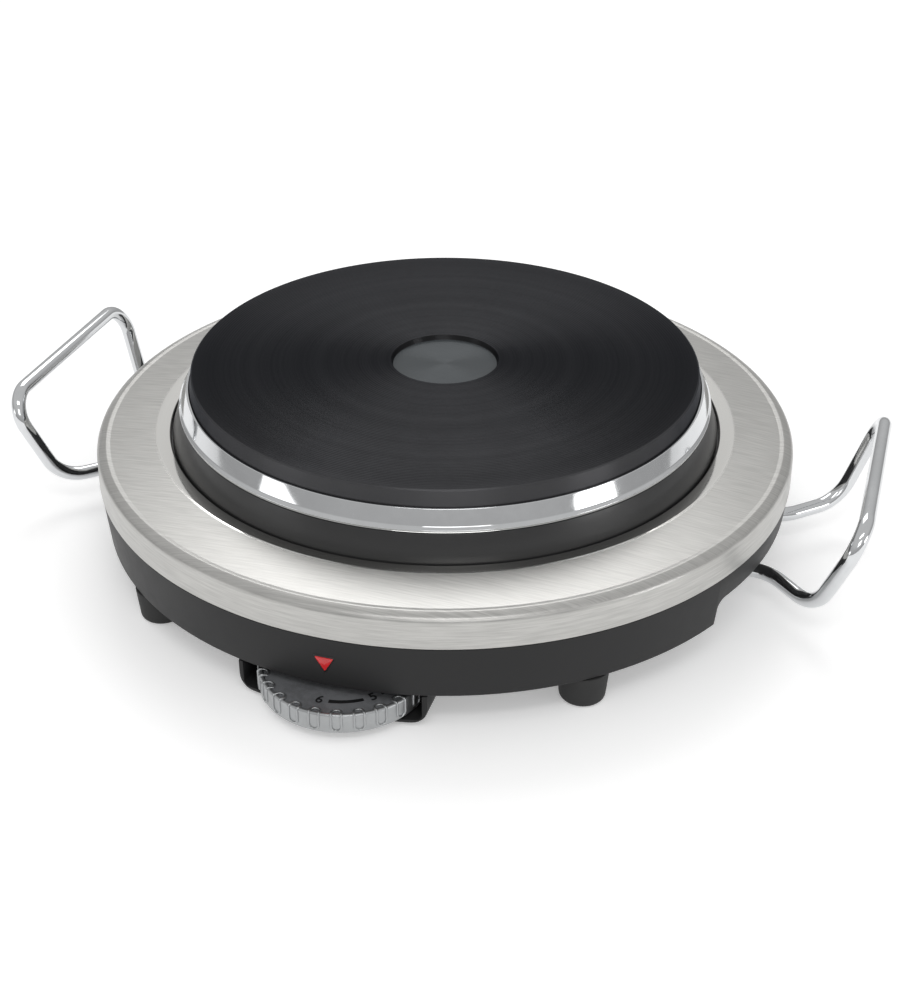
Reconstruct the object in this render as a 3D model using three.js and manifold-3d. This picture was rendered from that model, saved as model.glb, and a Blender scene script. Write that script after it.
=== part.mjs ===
// Single electric hot plate: a sealed cast-iron plate on a round two-piece body,
// with wire handles at both sides and a flat control dial under the front edge.
// Millimetres, +Z up. The plate's axis is the Z axis and the feet stand on z = 0.
// +X runs along the handles and -Y faces the cook, where the dial is.
import * as THREE from 'three';
import { mergeVertices } from 'three/addons/utils/BufferGeometryUtils.js';
import Module from 'manifold-3d';

const wasm = await Module();
wasm.setup();

// ---------------------------------------------------------------- driving dimensions
const GAP = 0.35; // left between pieces that touch on the real object

const PLATE_R = 110; // sealed plate, nominal 220 mm
const PLATE_TOP = 81; // cooking surface above the worktop
const PLATE_SIDE = 6.8; // height of plate that stands proud of its trim ring
const RECESS_R = 22.9;
const RECESS_DEPTH = 2.4;

const COLLAR_TOP = 65.1; // black collar between trim ring and steel cover
const COLLAR_TOP_R = 114.8;
const COLLAR_BOTTOM_R = 118.7;

const COVER_R = 151.5; // brushed steel cover
const COVER_CREST_R = 126; // where the polished lip turns into the brushed top
const COVER_CREST_Z = 54.8;
const COVER_EDGE_Z = 52.5;
const COVER_SKIRT_Z = 38.4;
const STEEL = 0.9; // sheet thickness

const BASE_R = 151.2; // black base, at its joint with the cover
const BASE_FOOT_R = 149.2; // and at its lower edge
const BASE_BOTTOM = 14.8;
const FLOOR_Z = 18.6; // underside of the base floor
const FLOOR_T = 2;
const BASE_WALL_R = 147.5; // inside of the base wall
const ARCH_HALF = 67; // opening in each side of the base, over the handle legs
const ARCH_TOP = 27;
const ARCH_BACK = 128;
const ARCH_FILLET = 4;

const FOOT_R = 139.5; // pitch radius of the feet
const FOOT_ANGLE = 50; // degrees from the handle line
const FOOT_TOP = BASE_BOTTOM - GAP;

const KNOB_Y = -130; // dial axis
const KNOB_R = 34; // over the grip beads
const KNOB_WALL_R = 33.5;
const KNOB_BOTTOM = 4;
const KNOB_TOP = 12.5;
const KNOB_FACE_R = 31.6;
const KNOB_FACE_Z = 11.6;
const KNOB_RIM = 2.4; // thickness of the dial's downturned rim
const KNOB_WEB = 1.8; // thickness of its face
const HUB_R = 7;
const HUB_TOP = 13.1;
const BEADS = 24; // raised grip loops round the dial
const BEAD_HALF = 2.3; // half-width of a loop, outside
const BEAD_WIDTH = 0.6;
const KNOB_BEAD_BEND = KNOB_BOTTOM + 3.1; // centre of each loop's lower bend
const SHAFT_R = 3;

const SHROUD_HALF = 36.4; // clear half-width around the dial
const SHROUD_WALL = 2;
const SHROUD_BOTTOM = 1.8;
const SHROUD_FLOOR = 1.4;
const SHROUD_CORNER = 6; // rounding of its lower outer edge
const SHROUD_SCREW_X = 48;
const SHROUD_SCREW_Y = KNOB_Y + 14;
const LUG_HALF = 6; // half-width of the lugs that the shroud hangs from
const LUG_T = 2;

const REGULATOR_HALF = 16;
const REGULATOR_FRONT = -142;
const REGULATOR_BACK = -116;
const REGULATOR_BOTTOM = FLOOR_Z + FLOOR_T + GAP;
const REGULATOR_TOP = 40;
const CAM_R = 5; // cam radius at the hottest setting
const CAM_LIFT = 1.5;
const CAM_SWEEP = 295; // degrees of dial travel
const CAM_MARGIN = 10; // and what the cam has to spare at each end
const CAM_Z = 30;
const CAM_T = 4;

const LENS_Z = 25.6; // centre height of the red lens
const LENS_HALF = 3.9;
const LENS_UP = 3.4;
const LENS_DOWN = 3.4;

const WIRE_R = 3.25; // handle wire
const LEG_Y = 23;
const LEG_Z = 15;
const GRIP_X = 185.5;
const GRIP_Y = 58.5;
const GRIP_Z = 57.7;

const GLAND_Z = 28;
const GLAND_TIP = KNOB_R - KNOB_Y; // the body reaches as far back as the dial does forward

const LEAD_R = 1.2;
const SEGMENTS = 48; // around the large turned pieces
const FEWER = 24; // and around those inside

// ---------------------------------------------------------------- materials
const finish = (color, roughness, metalness) =>
  new THREE.MeshStandardMaterial({ color, roughness, metalness });
const CAST_IRON = finish(0x2b2a2c, 0.45, 0.6);
const CHROME = finish(0xe2e4e6, 0.08, 1);
const BLACK_ENAMEL = finish(0x2a2a2a, 0.35, 0.1);
const BRUSHED_STEEL = finish(0xb9b8b3, 0.32, 1);
const BLACK_PLASTIC = finish(0x333333, 0.55, 0);
const SILVER_PLASTIC = finish(0xb4b6b6, 0.35, 0.7);
const GREY_PLASTIC = finish(0x5b5d60, 0.5, 0.2);
const RUBBER = finish(0x1f1f1f, 0.8, 0);
const RED_LENS = finish(0xd01e22, 0.25, 0);
const GLASS = finish(0xe8e2d8, 0.1, 0);
const ZINC = finish(0xa9acae, 0.4, 0.9);
const ALUMINIUM = finish(0xc6c8ca, 0.35, 0.9);
const CERAMIC = finish(0xe6e1d5, 0.6, 0);
const BRASS = finish(0xb8974f, 0.3, 1);
const HEATER = finish(0x6d625a, 0.6, 0.6);
const BROWN_SLEEVE = finish(0x5a3a22, 0.6, 0);
const BLUE_SLEEVE = finish(0x27457f, 0.6, 0);
const GREEN_SLEEVE = finish(0x4f7d32, 0.6, 0);
const RED_SLEEVE = finish(0x8b2622, 0.6, 0);

// ---------------------------------------------------------------- solids
const radians = THREE.MathUtils.degToRad;

// Triangle list with shared corners, no slivers and its faces turned outwards.
function closed(geometry) {
  geometry.deleteAttribute('normal');
  geometry.deleteAttribute('uv');
  const merged = mergeVertices(geometry, 1e-4);
  const index = merged.index.array;
  const at = merged.attributes.position;
  const corner = [new THREE.Vector3(), new THREE.Vector3(), new THREE.Vector3()];
  const kept = [];
  let volume = 0;
  for (let i = 0; i < index.length; i += 3) {
    const [a, b, c] = [index[i], index[i + 1], index[i + 2]];
    if (a === b || b === c || c === a) continue;
    [a, b, c].forEach((v, k) => corner[k].fromBufferAttribute(at, v));
    volume += corner[0].dot(corner[1].clone().cross(corner[2]));
    kept.push(a, b, c);
  }
  if (volume < 0) kept.reverse();
  merged.setIndex(kept);
  return merged;
}

function solid(geometry) {
  const mesh = new wasm.Mesh({
    numProp: 3,
    vertProperties: new Float32Array(geometry.attributes.position.array),
    triVerts: new Uint32Array(geometry.index.array),
  });
  return new wasm.Manifold(mesh);
}

function fromSolid(body) {
  const mesh = body.getMesh();
  const geometry = new THREE.BufferGeometry();
  geometry.setAttribute('position', new THREE.BufferAttribute(mesh.vertProperties, 3));
  geometry.setIndex(new THREE.BufferAttribute(mesh.triVerts, 1));
  return geometry;
}

function cut(geometry, ...tools) {
  return fromSolid(tools.reduce((body, tool) => body.subtract(solid(tool)), solid(geometry)));
}

function join(geometry, ...others) {
  return fromSolid(others.reduce((body, other) => body.add(solid(other)), solid(geometry)));
}

function common(geometry, other) {
  return fromSolid(solid(geometry).intersect(solid(other)));
}

// ---------------------------------------------------------------- basic shapes
// Turned about Z: the outline is a list of [radius, height].
function turned(outline, segments = SEGMENTS) {
  const points = outline.map(([r, z]) => new THREE.Vector2(r, z));
  const onAxis = outline[0][0] === 0 && outline.at(-1)[0] === 0;
  if (!onAxis) points.push(points[0].clone());
  return closed(new THREE.LatheGeometry(points, segments).rotateX(Math.PI / 2));
}

function cylinder(r, z0, z1, x = 0, y = 0, segments = 16) {
  return turned([[0, z0], [r, z0], [r, z1], [0, z1]], segments).translate(x, y, 0);
}

function box(x0, x1, y0, y1, z0, z1) {
  const block = new THREE.BoxGeometry(x1 - x0, y1 - y0, z1 - z0);
  return closed(block.translate((x0 + x1) / 2, (y0 + y1) / 2, (z0 + z1) / 2));
}

function outline(points) {
  return new THREE.Shape(points.map(([x, y]) => new THREE.Vector2(x, y)));
}

// Plan outline raised from z0 to z1.
function raised(shape, z0, z1, curveSegments = 6) {
  const options = { depth: z1 - z0, bevelEnabled: false, curveSegments };
  return closed(new THREE.ExtrudeGeometry(shape, options).translate(0, 0, z0));
}

// Outline drawn in X and Z, run along Y from y0 to y1.
function alongY(shape, y0, y1, curveSegments = 6) {
  return raised(shape, 0, y1 - y0, curveSegments).rotateX(Math.PI / 2).translate(0, y1, 0);
}

// Outline drawn in Y and Z, run along X from x0 to x1.
function alongX(shape, x0, x1, curveSegments = 6) {
  return raised(shape, 0, x1 - x0, curveSegments)
    .applyMatrix4(new THREE.Matrix4().makeBasis(
      new THREE.Vector3(0, 1, 0), new THREE.Vector3(0, 0, 1), new THREE.Vector3(1, 0, 0)))
    .translate(x0, 0, 0);
}

function hexagon(acrossFlats, z0, z1, x = 0, y = 0) {
  return cylinder(acrossFlats / Math.sqrt(3), z0, z1, x, y, 6);
}

// A rectangle of half-width w from low to high, its lower corners rounded.
function roundBottomed(w, low, high, r) {
  const shape = new THREE.Shape();
  shape.moveTo(w, high);
  shape.lineTo(-w, high);
  shape.lineTo(-w, low + r);
  shape.absarc(-w + r, low + r, r, Math.PI, 1.5 * Math.PI, false);
  shape.lineTo(w - r, low);
  shape.absarc(w - r, low + r, r, 1.5 * Math.PI, 2 * Math.PI, false);
  return shape;
}

// The same, with its upper corners rounded.
function roundTopped(w, low, high, r) {
  const shape = new THREE.Shape();
  shape.moveTo(-w, low);
  shape.lineTo(w, low);
  shape.lineTo(w, high - r);
  shape.absarc(w - r, high - r, r, 0, Math.PI / 2, false);
  shape.lineTo(-w + r, high);
  shape.absarc(-w + r, high - r, r, Math.PI / 2, Math.PI, false);
  return shape;
}

class Arc extends THREE.Curve {
  constructor(centre, inward, forward, radius, sweep) {
    super();
    Object.assign(this, { centre, inward, forward, radius, sweep });
  }

  getPoint(t, target = new THREE.Vector3()) {
    const angle = t * this.sweep;
    return target.copy(this.centre)
      .addScaledVector(this.inward, -this.radius * Math.cos(angle))
      .addScaledVector(this.forward, this.radius * Math.sin(angle));
  }
}

// Straight runs between the corners, each corner bent to its own radius.
function bentPath(corners, radii) {
  const path = new THREE.CurvePath();
  let from = corners[0];
  for (let i = 1; i < corners.length - 1; i++) {
    const ahead = corners[i].clone().sub(corners[i - 1]).normalize();
    const beyond = corners[i + 1].clone().sub(corners[i]).normalize();
    const sweep = ahead.angleTo(beyond);
    const reach = radii[i - 1] * Math.tan(sweep / 2);
    const start = corners[i].clone().addScaledVector(ahead, -reach);
    const inward = beyond.clone().addScaledVector(ahead, -Math.cos(sweep)).normalize();
    const centre = start.clone().addScaledVector(inward, radii[i - 1]);
    path.add(new THREE.LineCurve3(from, start));
    path.add(new Arc(centre, inward, ahead, radii[i - 1], sweep));
    from = corners[i].clone().addScaledVector(beyond, reach);
  }
  path.add(new THREE.LineCurve3(from, corners.at(-1)));
  return path;
}

// Round bar along a path. A whole circle takes twice the curve segments.
function bar(path, radius, steps, sides) {
  const section = new THREE.Shape().absarc(0, 0, radius, 0, 2 * Math.PI, false);
  const options = { steps, extrudePath: path, bevelEnabled: false, curveSegments: sides / 2 };
  return closed(new THREE.ExtrudeGeometry(section, options));
}

// ---------------------------------------------------------------- assembly
const hotPlateBurner = new THREE.Group();

function piece(name, geometry, material) {
  const mesh = new THREE.Mesh(geometry, material);
  mesh.name = name;
  hotPlateBurner.add(mesh);
}

const footPlaces = [
  ['front_right', -FOOT_ANGLE],
  ['rear_right', FOOT_ANGLE],
  ['rear_left', 180 - FOOT_ANGLE],
  ['front_left', 180 + FOOT_ANGLE],
].map(([name, angle]) => {
  const x = FOOT_R * Math.cos(radians(angle));
  const y = FOOT_R * Math.sin(radians(angle));
  return { name, x, y };
});
const CLAMP_X = 113;
const CLAMP_SCREW_Y = 35;
const SCREW_HOLE_R = 2;

// ---------------------------------------------------------------- plate and its heater
function addPlate() {
  const side = PLATE_TOP - PLATE_SIDE;
  piece('hotplate', turned([
    [0, PLATE_TOP - RECESS_DEPTH],
    [RECESS_R - 0.5, PLATE_TOP - RECESS_DEPTH],
    [RECESS_R + 0.3, PLATE_TOP - 0.3],
    [RECESS_R + 0.8, PLATE_TOP],
    [PLATE_R - 1.6, PLATE_TOP],
    [PLATE_R - 1, PLATE_TOP - 0.5],
    [PLATE_R, side],
    [PLATE_R - 0.3, 66.4],
    [104, 66.4],
    [104, 72],
    [36, 72],
    [36, 64.6],
    [14, 64.6],
    [14, 61.5],
    [4.3, 61.5],
    [4.3, 72],
    [0, 72],
  ]), CAST_IRON);
  piece('heater_outer', turned(ringSection(86, 69.7, 1.9), FEWER), HEATER);
  piece('heater_inner', turned(ringSection(58, 69.7, 1.9), FEWER), HEATER);
  piece('insulation_disc', turned([[37, 64.6], [103, 64.6], [103, 67.2], [37, 67.2]], FEWER), CERAMIC);
  piece('element_cover', turned([[17, 63.4], [104.8, 63.4], [104.8, 64.2], [17, 64.2]], FEWER), ZINC);
}

function ringSection(r, z, section) {
  const corners = [0, 72, 144, 216, 288].map(radians);
  return corners.map((a) => [r + section * Math.cos(a), z + section * Math.sin(a)]);
}

function addPlateMount() {
  piece('plate_stud', cylinder(4, 36.5, 71.6, 0, 0, 14), ZINC);
  const channel = alongX(outline([
    [-13, 46.4], [13, 46.4], [13, 49.6], [11.4, 49.6],
    [11.4, 48], [-11.4, 48], [-11.4, 49.6], [-13, 49.6],
  ]), -124, 124);
  piece('support_bridge', cut(channel, cylinder(4.5, 45, 51)), ZINC);
  piece('heat_reflector', cut(
    turned([[4.7, 45.3], [105.6, 45.3], [111.2, 41], [112, 41.6], [106, 46.1], [4.7, 46.1]], FEWER),
    cylinder(8, 44, 47, 0, 66),
  ), ALUMINIUM);
  piece('bridge_washer', turned([[4.5, 43.6], [9, 43.6], [9, 45], [4.5, 45]], 16), ZINC);
  piece('bridge_nut', cut(hexagon(13, 37.2, 43.3), cylinder(4.35, 36, 45, 0, 0, 14)), ZINC);
  piece('terminal_block', cut(
    box(-20, 20, 45, 61, 52, 63.05),
    ...[-12, 0, 12].map((x) => cylinder(2.2, 60, 64, x, 49)),
  ), CERAMIC);
  piece('overheat_limiter', turned([[0, 53], [6, 53], [6, 55], [8, 55], [8, 63.05], [0, 63.05]], 16)
    .translate(-42, 42, 0), BLACK_PLASTIC);
}

// ---------------------------------------------------------------- body shells
function addTrimRing() {
  const top = PLATE_TOP - PLATE_SIDE - 0.1;
  piece('spill_ring', turned([
    [PLATE_R + 0.35, top],
    [PLATE_R + 1.1, top - 0.1],
    [113.9, 67.4],
    [115, 66.3],
    [114.9, 65.45],
    [105.5, 65.45],
    [105.5, 66.05],
    [112.9, 66.05],
    [112.9, 67.2],
    [PLATE_R + 0.35, top - 0.9],
  ]), CHROME);
}

function addCollar() {
  const sheet = 1.1;
  piece('support_collar', turned([
    [106, COLLAR_TOP],
    [COLLAR_TOP_R - 0.5, COLLAR_TOP],
    [COLLAR_TOP_R, COLLAR_TOP - 0.4],
    [COLLAR_BOTTOM_R, 53.6],
    [COLLAR_BOTTOM_R, 51],
    [125, 51],
    [125, 50],
    [COLLAR_BOTTOM_R - sheet, 50],
    [COLLAR_BOTTOM_R - sheet, 53.4],
    [COLLAR_TOP_R - sheet, COLLAR_TOP - 1],
    [106, COLLAR_TOP - 1],
  ]), BLACK_ENAMEL);
}

function addTopCover() {
  const lip = COLLAR_BOTTOM_R + 0.6;
  piece('top_cover', turned([
    [lip, 51.6],
    [lip, COVER_CREST_Z - 1.3],
    [lip + 1, COVER_CREST_Z - 0.5],
    [COVER_CREST_R, COVER_CREST_Z],
    [COVER_R - 4.5, COVER_EDGE_Z],
    [COVER_R - 2.3, COVER_EDGE_Z - 0.9],
    [COVER_R - 0.8, COVER_EDGE_Z - 2.4],
    [COVER_R - 0.2, COVER_EDGE_Z - 4.5],
    [COVER_R, COVER_SKIRT_Z],
    [COVER_R - STEEL, COVER_SKIRT_Z],
    [COVER_R - 0.2 - STEEL, COVER_EDGE_Z - 4.7],
    [COVER_R - 4.8, COVER_EDGE_Z - 1],
    [COVER_CREST_R, COVER_CREST_Z - STEEL],
    [lip + STEEL, 51.6],
  ]), BRUSHED_STEEL);
}

function lensOutline(grow) {
  return outline([
    [-LENS_HALF - grow, LENS_Z + LENS_UP + grow],
    [0, LENS_Z - LENS_DOWN - 1.5 * grow],
    [LENS_HALF + grow, LENS_Z + LENS_UP + grow],
  ]);
}

// Side opening of the base: a raised pocket in the floor behind an arch in the wall.
function archPocket(side) {
  const pocket = box(ARCH_BACK - 2, BASE_WALL_R + 1, -ARCH_HALF - 2, ARCH_HALF + 2, FLOOR_Z + 0.4,
    ARCH_TOP + 2);
  const inside = common(pocket, cylinder(BASE_WALL_R + 0.9, 10, 40, 0, 0, SEGMENTS));
  return side > 0 ? inside : closed(inside.rotateZ(Math.PI));
}

function archVoid(side) {
  const arch = roundTopped(ARCH_HALF, BASE_BOTTOM - 3, ARCH_TOP, ARCH_FILLET);
  return side > 0 ? alongX(arch, ARCH_BACK, 156) : alongX(arch, -156, -ARCH_BACK);
}

function ventSlots() {
  const count = 18;
  const half = 2;
  const slot = new THREE.Shape();
  slot.moveTo(58, -half);
  slot.lineTo(92, -half);
  slot.absarc(92, 0, half, -Math.PI / 2, Math.PI / 2, false);
  slot.lineTo(58, half);
  slot.absarc(58, 0, half, Math.PI / 2, 1.5 * Math.PI, false);
  return Array.from({ length: count }, (_, i) =>
    raised(slot, FLOOR_Z - 2, FLOOR_Z + FLOOR_T + 2, 3).rotateZ(radians((i + 0.5) * 360 / count)));
}

function addBase() {
  const shell = turned([
    [0, FLOOR_Z],
    [BASE_WALL_R - 0.5, FLOOR_Z],
    [BASE_WALL_R - 0.5, BASE_BOTTOM],
    [BASE_FOOT_R, BASE_BOTTOM],
    [BASE_R, COVER_SKIRT_Z - GAP],
    [BASE_R - 1.3, COVER_SKIRT_Z - GAP],
    [BASE_R - 1.5, 45],
    [BASE_WALL_R + 0.2, 45],
    [BASE_WALL_R, FLOOR_Z + FLOOR_T],
    [0, FLOOR_Z + FLOOR_T],
  ]);
  const through = (r, x, y) => cylinder(r, FLOOR_Z - 2, FLOOR_Z + FLOOR_T + 2, x, y, 12);
  const glandHole = cylinder(6.3, -160, -140, 0, 0, 20).rotateX(Math.PI / 2).translate(0, 0, GLAND_Z);
  const shaftHole = through(5.2, 0, KNOB_Y);
  const footHoles = footPlaces.map(({ x, y }) => through(SCREW_HOLE_R, x, y));
  const clampHoles = [-1, 1].flatMap((side) => [-1, 1].map((end) =>
    through(SCREW_HOLE_R, side * CLAMP_X, end * CLAMP_SCREW_Y)));
  const shroudHoles = [-1, 1].map((side) => through(SCREW_HOLE_R, side * SHROUD_SCREW_X, SHROUD_SCREW_Y));
  const lensHole = alongY(lensOutline(GAP), -155, -144);
  piece('base_housing', cut(
    join(shell, archPocket(1), archPocket(-1)),
    archVoid(1), archVoid(-1),
    ...ventSlots(), glandHole, shaftHole, lensHole,
    ...footHoles, ...clampHoles, ...shroudHoles,
  ), BLACK_PLASTIC);
}

// ---------------------------------------------------------------- feet
function addFeet() {
  for (const { name, x, y } of footPlaces) {
    piece(`foot_${name}`, turned([
      [4.3, 0], [7.2, 0], [8.7, 0.8], [9.4, 2.6], [10.3, FOOT_TOP],
      [7, FOOT_TOP], [7, FLOOR_Z - GAP], [2, FLOOR_Z - GAP], [2, 5.6], [4.3, 5.6],
    ], 14).translate(x, y, 0), RUBBER);
    piece(`foot_screw_${name}`, turned([
      [0, 2.6], [3.6, 2.6], [3.9, 3.6], [3.9, 5.2], [1.6, 5.2], [1.6, 34], [0, 34],
    ], 10).translate(x, y, 0), ZINC);
    piece(`cover_post_${name}`, turned([
      [1.95, REGULATOR_BOTTOM], [4, REGULATOR_BOTTOM], [4, 51.2], [0, 51.2], [0, 36], [1.95, 36],
    ], 10).translate(x, y, 0), ZINC);
  }
}

// Pan-head screw driven upwards from below, its head seated at seatZ.
function upwardScrew(name, x, y, seatZ, length) {
  piece(name, turned([
    [0, seatZ - 2.2], [2.6, seatZ - 2.2], [3.3, seatZ - 1.4], [3.3, seatZ],
    [1.6, seatZ], [1.6, seatZ + length], [0, seatZ + length],
  ], 10).translate(x, y, 0), ZINC);
}

// ---------------------------------------------------------------- handles
function handleWire(side) {
  const half = [
    new THREE.Vector3(98, LEG_Y, LEG_Z),
    new THREE.Vector3(149, LEG_Y, LEG_Z),
    new THREE.Vector3(170.5, 43.5, LEG_Z),
    new THREE.Vector3(GRIP_X, GRIP_Y, GRIP_Z),
  ];
  const mirrored = half.toReversed().map((p) => new THREE.Vector3(p.x, -p.y, p.z));
  const bends = [18, 17, 12];
  const wire = bar(bentPath([...half, ...mirrored], [...bends, ...bends.toReversed()]), WIRE_R, 56, 8);
  return side > 0 ? wire : closed(wire.rotateZ(Math.PI));
}

function addHandles() {
  const clamp = outline([
    [-41, 18.25], [-29.4, 18.25], [-27.6, 11.35], [27.6, 11.35], [29.4, 18.25], [41, 18.25],
    [41, 16.75], [30.6, 16.75], [28.8, 9.85], [-28.8, 9.85], [-30.6, 16.75], [-41, 16.75],
  ]);
  for (const [name, side] of [['left', -1], ['right', 1]]) {
    piece(`handle_${name}`, handleWire(side), CHROME);
    const x = side * CLAMP_X;
    const holes = [-1, 1].map((end) => cylinder(SCREW_HOLE_R, 14, 22, x, end * CLAMP_SCREW_Y, 12));
    piece(`handle_clamp_${name}`, cut(alongX(clamp, x - 9, x + 9), ...holes), ZINC);
    upwardScrew(`clamp_screw_${name}_front`, x, -CLAMP_SCREW_Y, 16.75 - GAP, 8);
    upwardScrew(`clamp_screw_${name}_rear`, x, CLAMP_SCREW_Y, 16.75 - GAP, 8);
  }
}

// ---------------------------------------------------------------- control dial
// A loop-shaped bead: straight down the ring's wall, round at the bottom, then over the top
// edge and in across the face, where it closes in an arch.
function gripBead() {
  const inner = BEAD_HALF - BEAD_WIDTH;
  const band = (from, bend, end) => {
    const shape = new THREE.Shape();
    shape.moveTo(-BEAD_HALF, from);
    shape.absarc(0, bend, BEAD_HALF, Math.PI, end, end < Math.PI);
    shape.lineTo(BEAD_HALF, from);
    shape.lineTo(inner, from);
    shape.absarc(0, bend, inner, end, Math.PI, end > Math.PI);
    shape.lineTo(-inner, from);
    return shape;
  };
  const wall = alongY(band(KNOB_TOP - 0.3, KNOB_BEAD_BEND, 2 * Math.PI), -KNOB_R, -KNOB_WALL_R + 0.5, 2);
  const top = raised(band(-KNOB_WALL_R + 0.2, -KNOB_FACE_R, 0), KNOB_FACE_Z + GAP, KNOB_TOP, 2);
  return join(wall, top);
}

function addDial() {
  const ring = turned([
    [KNOB_FACE_R + GAP, KNOB_BOTTOM],
    [KNOB_WALL_R, KNOB_BOTTOM],
    [KNOB_WALL_R, KNOB_TOP - 1],
    [KNOB_WALL_R - 1, KNOB_TOP - 0.1],
    [KNOB_FACE_R + GAP, KNOB_TOP - 0.1],
  ]);
  const bead = gripBead();
  const beads = Array.from({ length: BEADS }, (_, i) =>
    bead.clone().rotateZ(radians(i * 360 / BEADS)));
  piece('knob_grip_ring', join(ring, ...beads).translate(0, KNOB_Y, 0), SILVER_PLASTIC);
  const under = KNOB_BOTTOM + 0.6;
  const bore = SHAFT_R + 0.3;
  piece('knob_body', turned([
    [bore, under],
    [HUB_R, under],
    [HUB_R, KNOB_FACE_Z - KNOB_WEB],
    [KNOB_FACE_R - KNOB_RIM, KNOB_FACE_Z - KNOB_WEB],
    [KNOB_FACE_R - KNOB_RIM, under],
    [KNOB_FACE_R, under],
    [KNOB_FACE_R, KNOB_FACE_Z],
    [HUB_R, KNOB_FACE_Z],
    [HUB_R, HUB_TOP],
    [bore, HUB_TOP],
  ], 32).translate(0, KNOB_Y, 0), GREY_PLASTIC);
  const flat = box(2.2, 5, -5, 5, 0, 15);
  piece('regulator_shaft', cut(cylinder(SHAFT_R, KNOB_BOTTOM + 0.9, 37, 0, 0, 16), flat)
    .translate(0, KNOB_Y, 0), ZINC);
}

function shroudPlan(halfWidth) {
  const shape = new THREE.Shape();
  shape.moveTo(halfWidth, -160);
  shape.lineTo(halfWidth, KNOB_Y);
  shape.absarc(0, KNOB_Y, halfWidth, 0, Math.PI, false);
  shape.lineTo(-halfWidth, -160);
  return shape;
}

function addShroud() {
  const outer = SHROUD_HALF + SHROUD_WALL;
  const top = FLOOR_Z - GAP;
  const shell = common(
    raised(shroudPlan(outer), SHROUD_BOTTOM, top, 12),
    alongY(roundBottomed(outer, SHROUD_BOTTOM, top, SHROUD_CORNER), -165, -80),
  );
  const lugs = [-1, 1].map((side) => {
    const ends = [side * (SHROUD_HALF - LUG_HALF), side * (SHROUD_SCREW_X + LUG_HALF)];
    return box(Math.min(...ends), Math.max(...ends), SHROUD_SCREW_Y - LUG_HALF,
      SHROUD_SCREW_Y + LUG_HALF, top - LUG_T, top);
  });
  const dialRoom = common(
    raised(shroudPlan(SHROUD_HALF), SHROUD_BOTTOM + SHROUD_FLOOR, 30, 12),
    alongY(roundBottomed(SHROUD_HALF, SHROUD_BOTTOM + SHROUD_FLOOR, 30, 2), -165, -80, 3),
  );
  const underWall = turned([[0, 0], [BASE_FOOT_R, 0], [BASE_FOOT_R, BASE_BOTTOM - GAP],
    [BASE_WALL_R - 0.9, BASE_BOTTOM - GAP], [BASE_WALL_R - 0.9, 30], [0, 30]]);
  const screwHoles = [-1, 1].map((side) =>
    cylinder(SCREW_HOLE_R, 10, 22, side * SHROUD_SCREW_X, SHROUD_SCREW_Y, 12));
  piece('knob_shroud', cut(common(join(shell, ...lugs), underWall), dialRoom, ...screwHoles),
    BLACK_PLASTIC);
  for (const [name, side] of [['left', -1], ['right', 1]]) {
    upwardScrew(`shroud_screw_${name}`, side * SHROUD_SCREW_X, SHROUD_SCREW_Y, top - LUG_T - GAP, 7);
  }
}

// ---------------------------------------------------------------- regulator and lamp
function camOutline() {
  const steps = 24;
  const points = [];
  for (let i = 0; i <= steps; i++) {
    const turn = (i / steps) * (CAM_SWEEP + 2 * CAM_MARGIN) - CAM_MARGIN;
    const r = CAM_R + CAM_LIFT * turn / CAM_SWEEP;
    points.push([r * Math.cos(radians(turn)), r * Math.sin(radians(turn))]);
  }
  return outline(points);
}

function addRegulator() {
  const inset = 2.5;
  const block = box(-REGULATOR_HALF, REGULATOR_HALF, REGULATOR_FRONT, REGULATOR_BACK,
    REGULATOR_BOTTOM, REGULATOR_TOP);
  const bush = cylinder(4.8, 15, REGULATOR_BOTTOM + 0.5, 0, KNOB_Y, 20);
  const chamber = box(-REGULATOR_HALF + inset, REGULATOR_HALF - inset, REGULATOR_FRONT + inset,
    REGULATOR_BACK - inset, REGULATOR_BOTTOM + inset, REGULATOR_TOP + 2);
  const shaftBore = cylinder(SHAFT_R + 0.1, 10, 30, 0, KNOB_Y, 16);
  piece('regulator_body', cut(join(block, bush), chamber, shaftBore), BLACK_PLASTIC);
  piece('regulator_cover', box(-REGULATOR_HALF, REGULATOR_HALF, REGULATOR_FRONT, REGULATOR_BACK,
    REGULATOR_TOP + GAP, REGULATOR_TOP + 2), ZINC);
  piece('regulator_nut', cut(hexagon(14, 15.4, FLOOR_Z - GAP, 0, KNOB_Y),
    cylinder(5.15, 14, 20, 0, KNOB_Y, 20)), BRASS);
  piece('regulator_cam', cut(raised(camOutline(), CAM_Z, CAM_Z + CAM_T),
    cylinder(SHAFT_R + 0.3, CAM_Z - 1, CAM_Z + CAM_T + 1)).translate(0, KNOB_Y, 0), GREY_PLASTIC);
  piece('regulator_follower', box(CAM_R + GAP, 11.5, KNOB_Y - 1.5, KNOB_Y + 1.5, CAM_Z + 0.5,
    CAM_Z + 3.5), BRASS);
  piece('regulator_contact', box(-12, 12, REGULATOR_BACK - 4, REGULATOR_BACK - 3.4, 26, 34), BRASS);
  for (const [number, x] of [[1, -5], [2, 5]]) {
    piece(`regulator_terminal_${number}`, box(x - 3, x + 3,
      REGULATOR_BACK + GAP, REGULATOR_BACK + 10, 30, 31), BRASS);
  }
}

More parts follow.
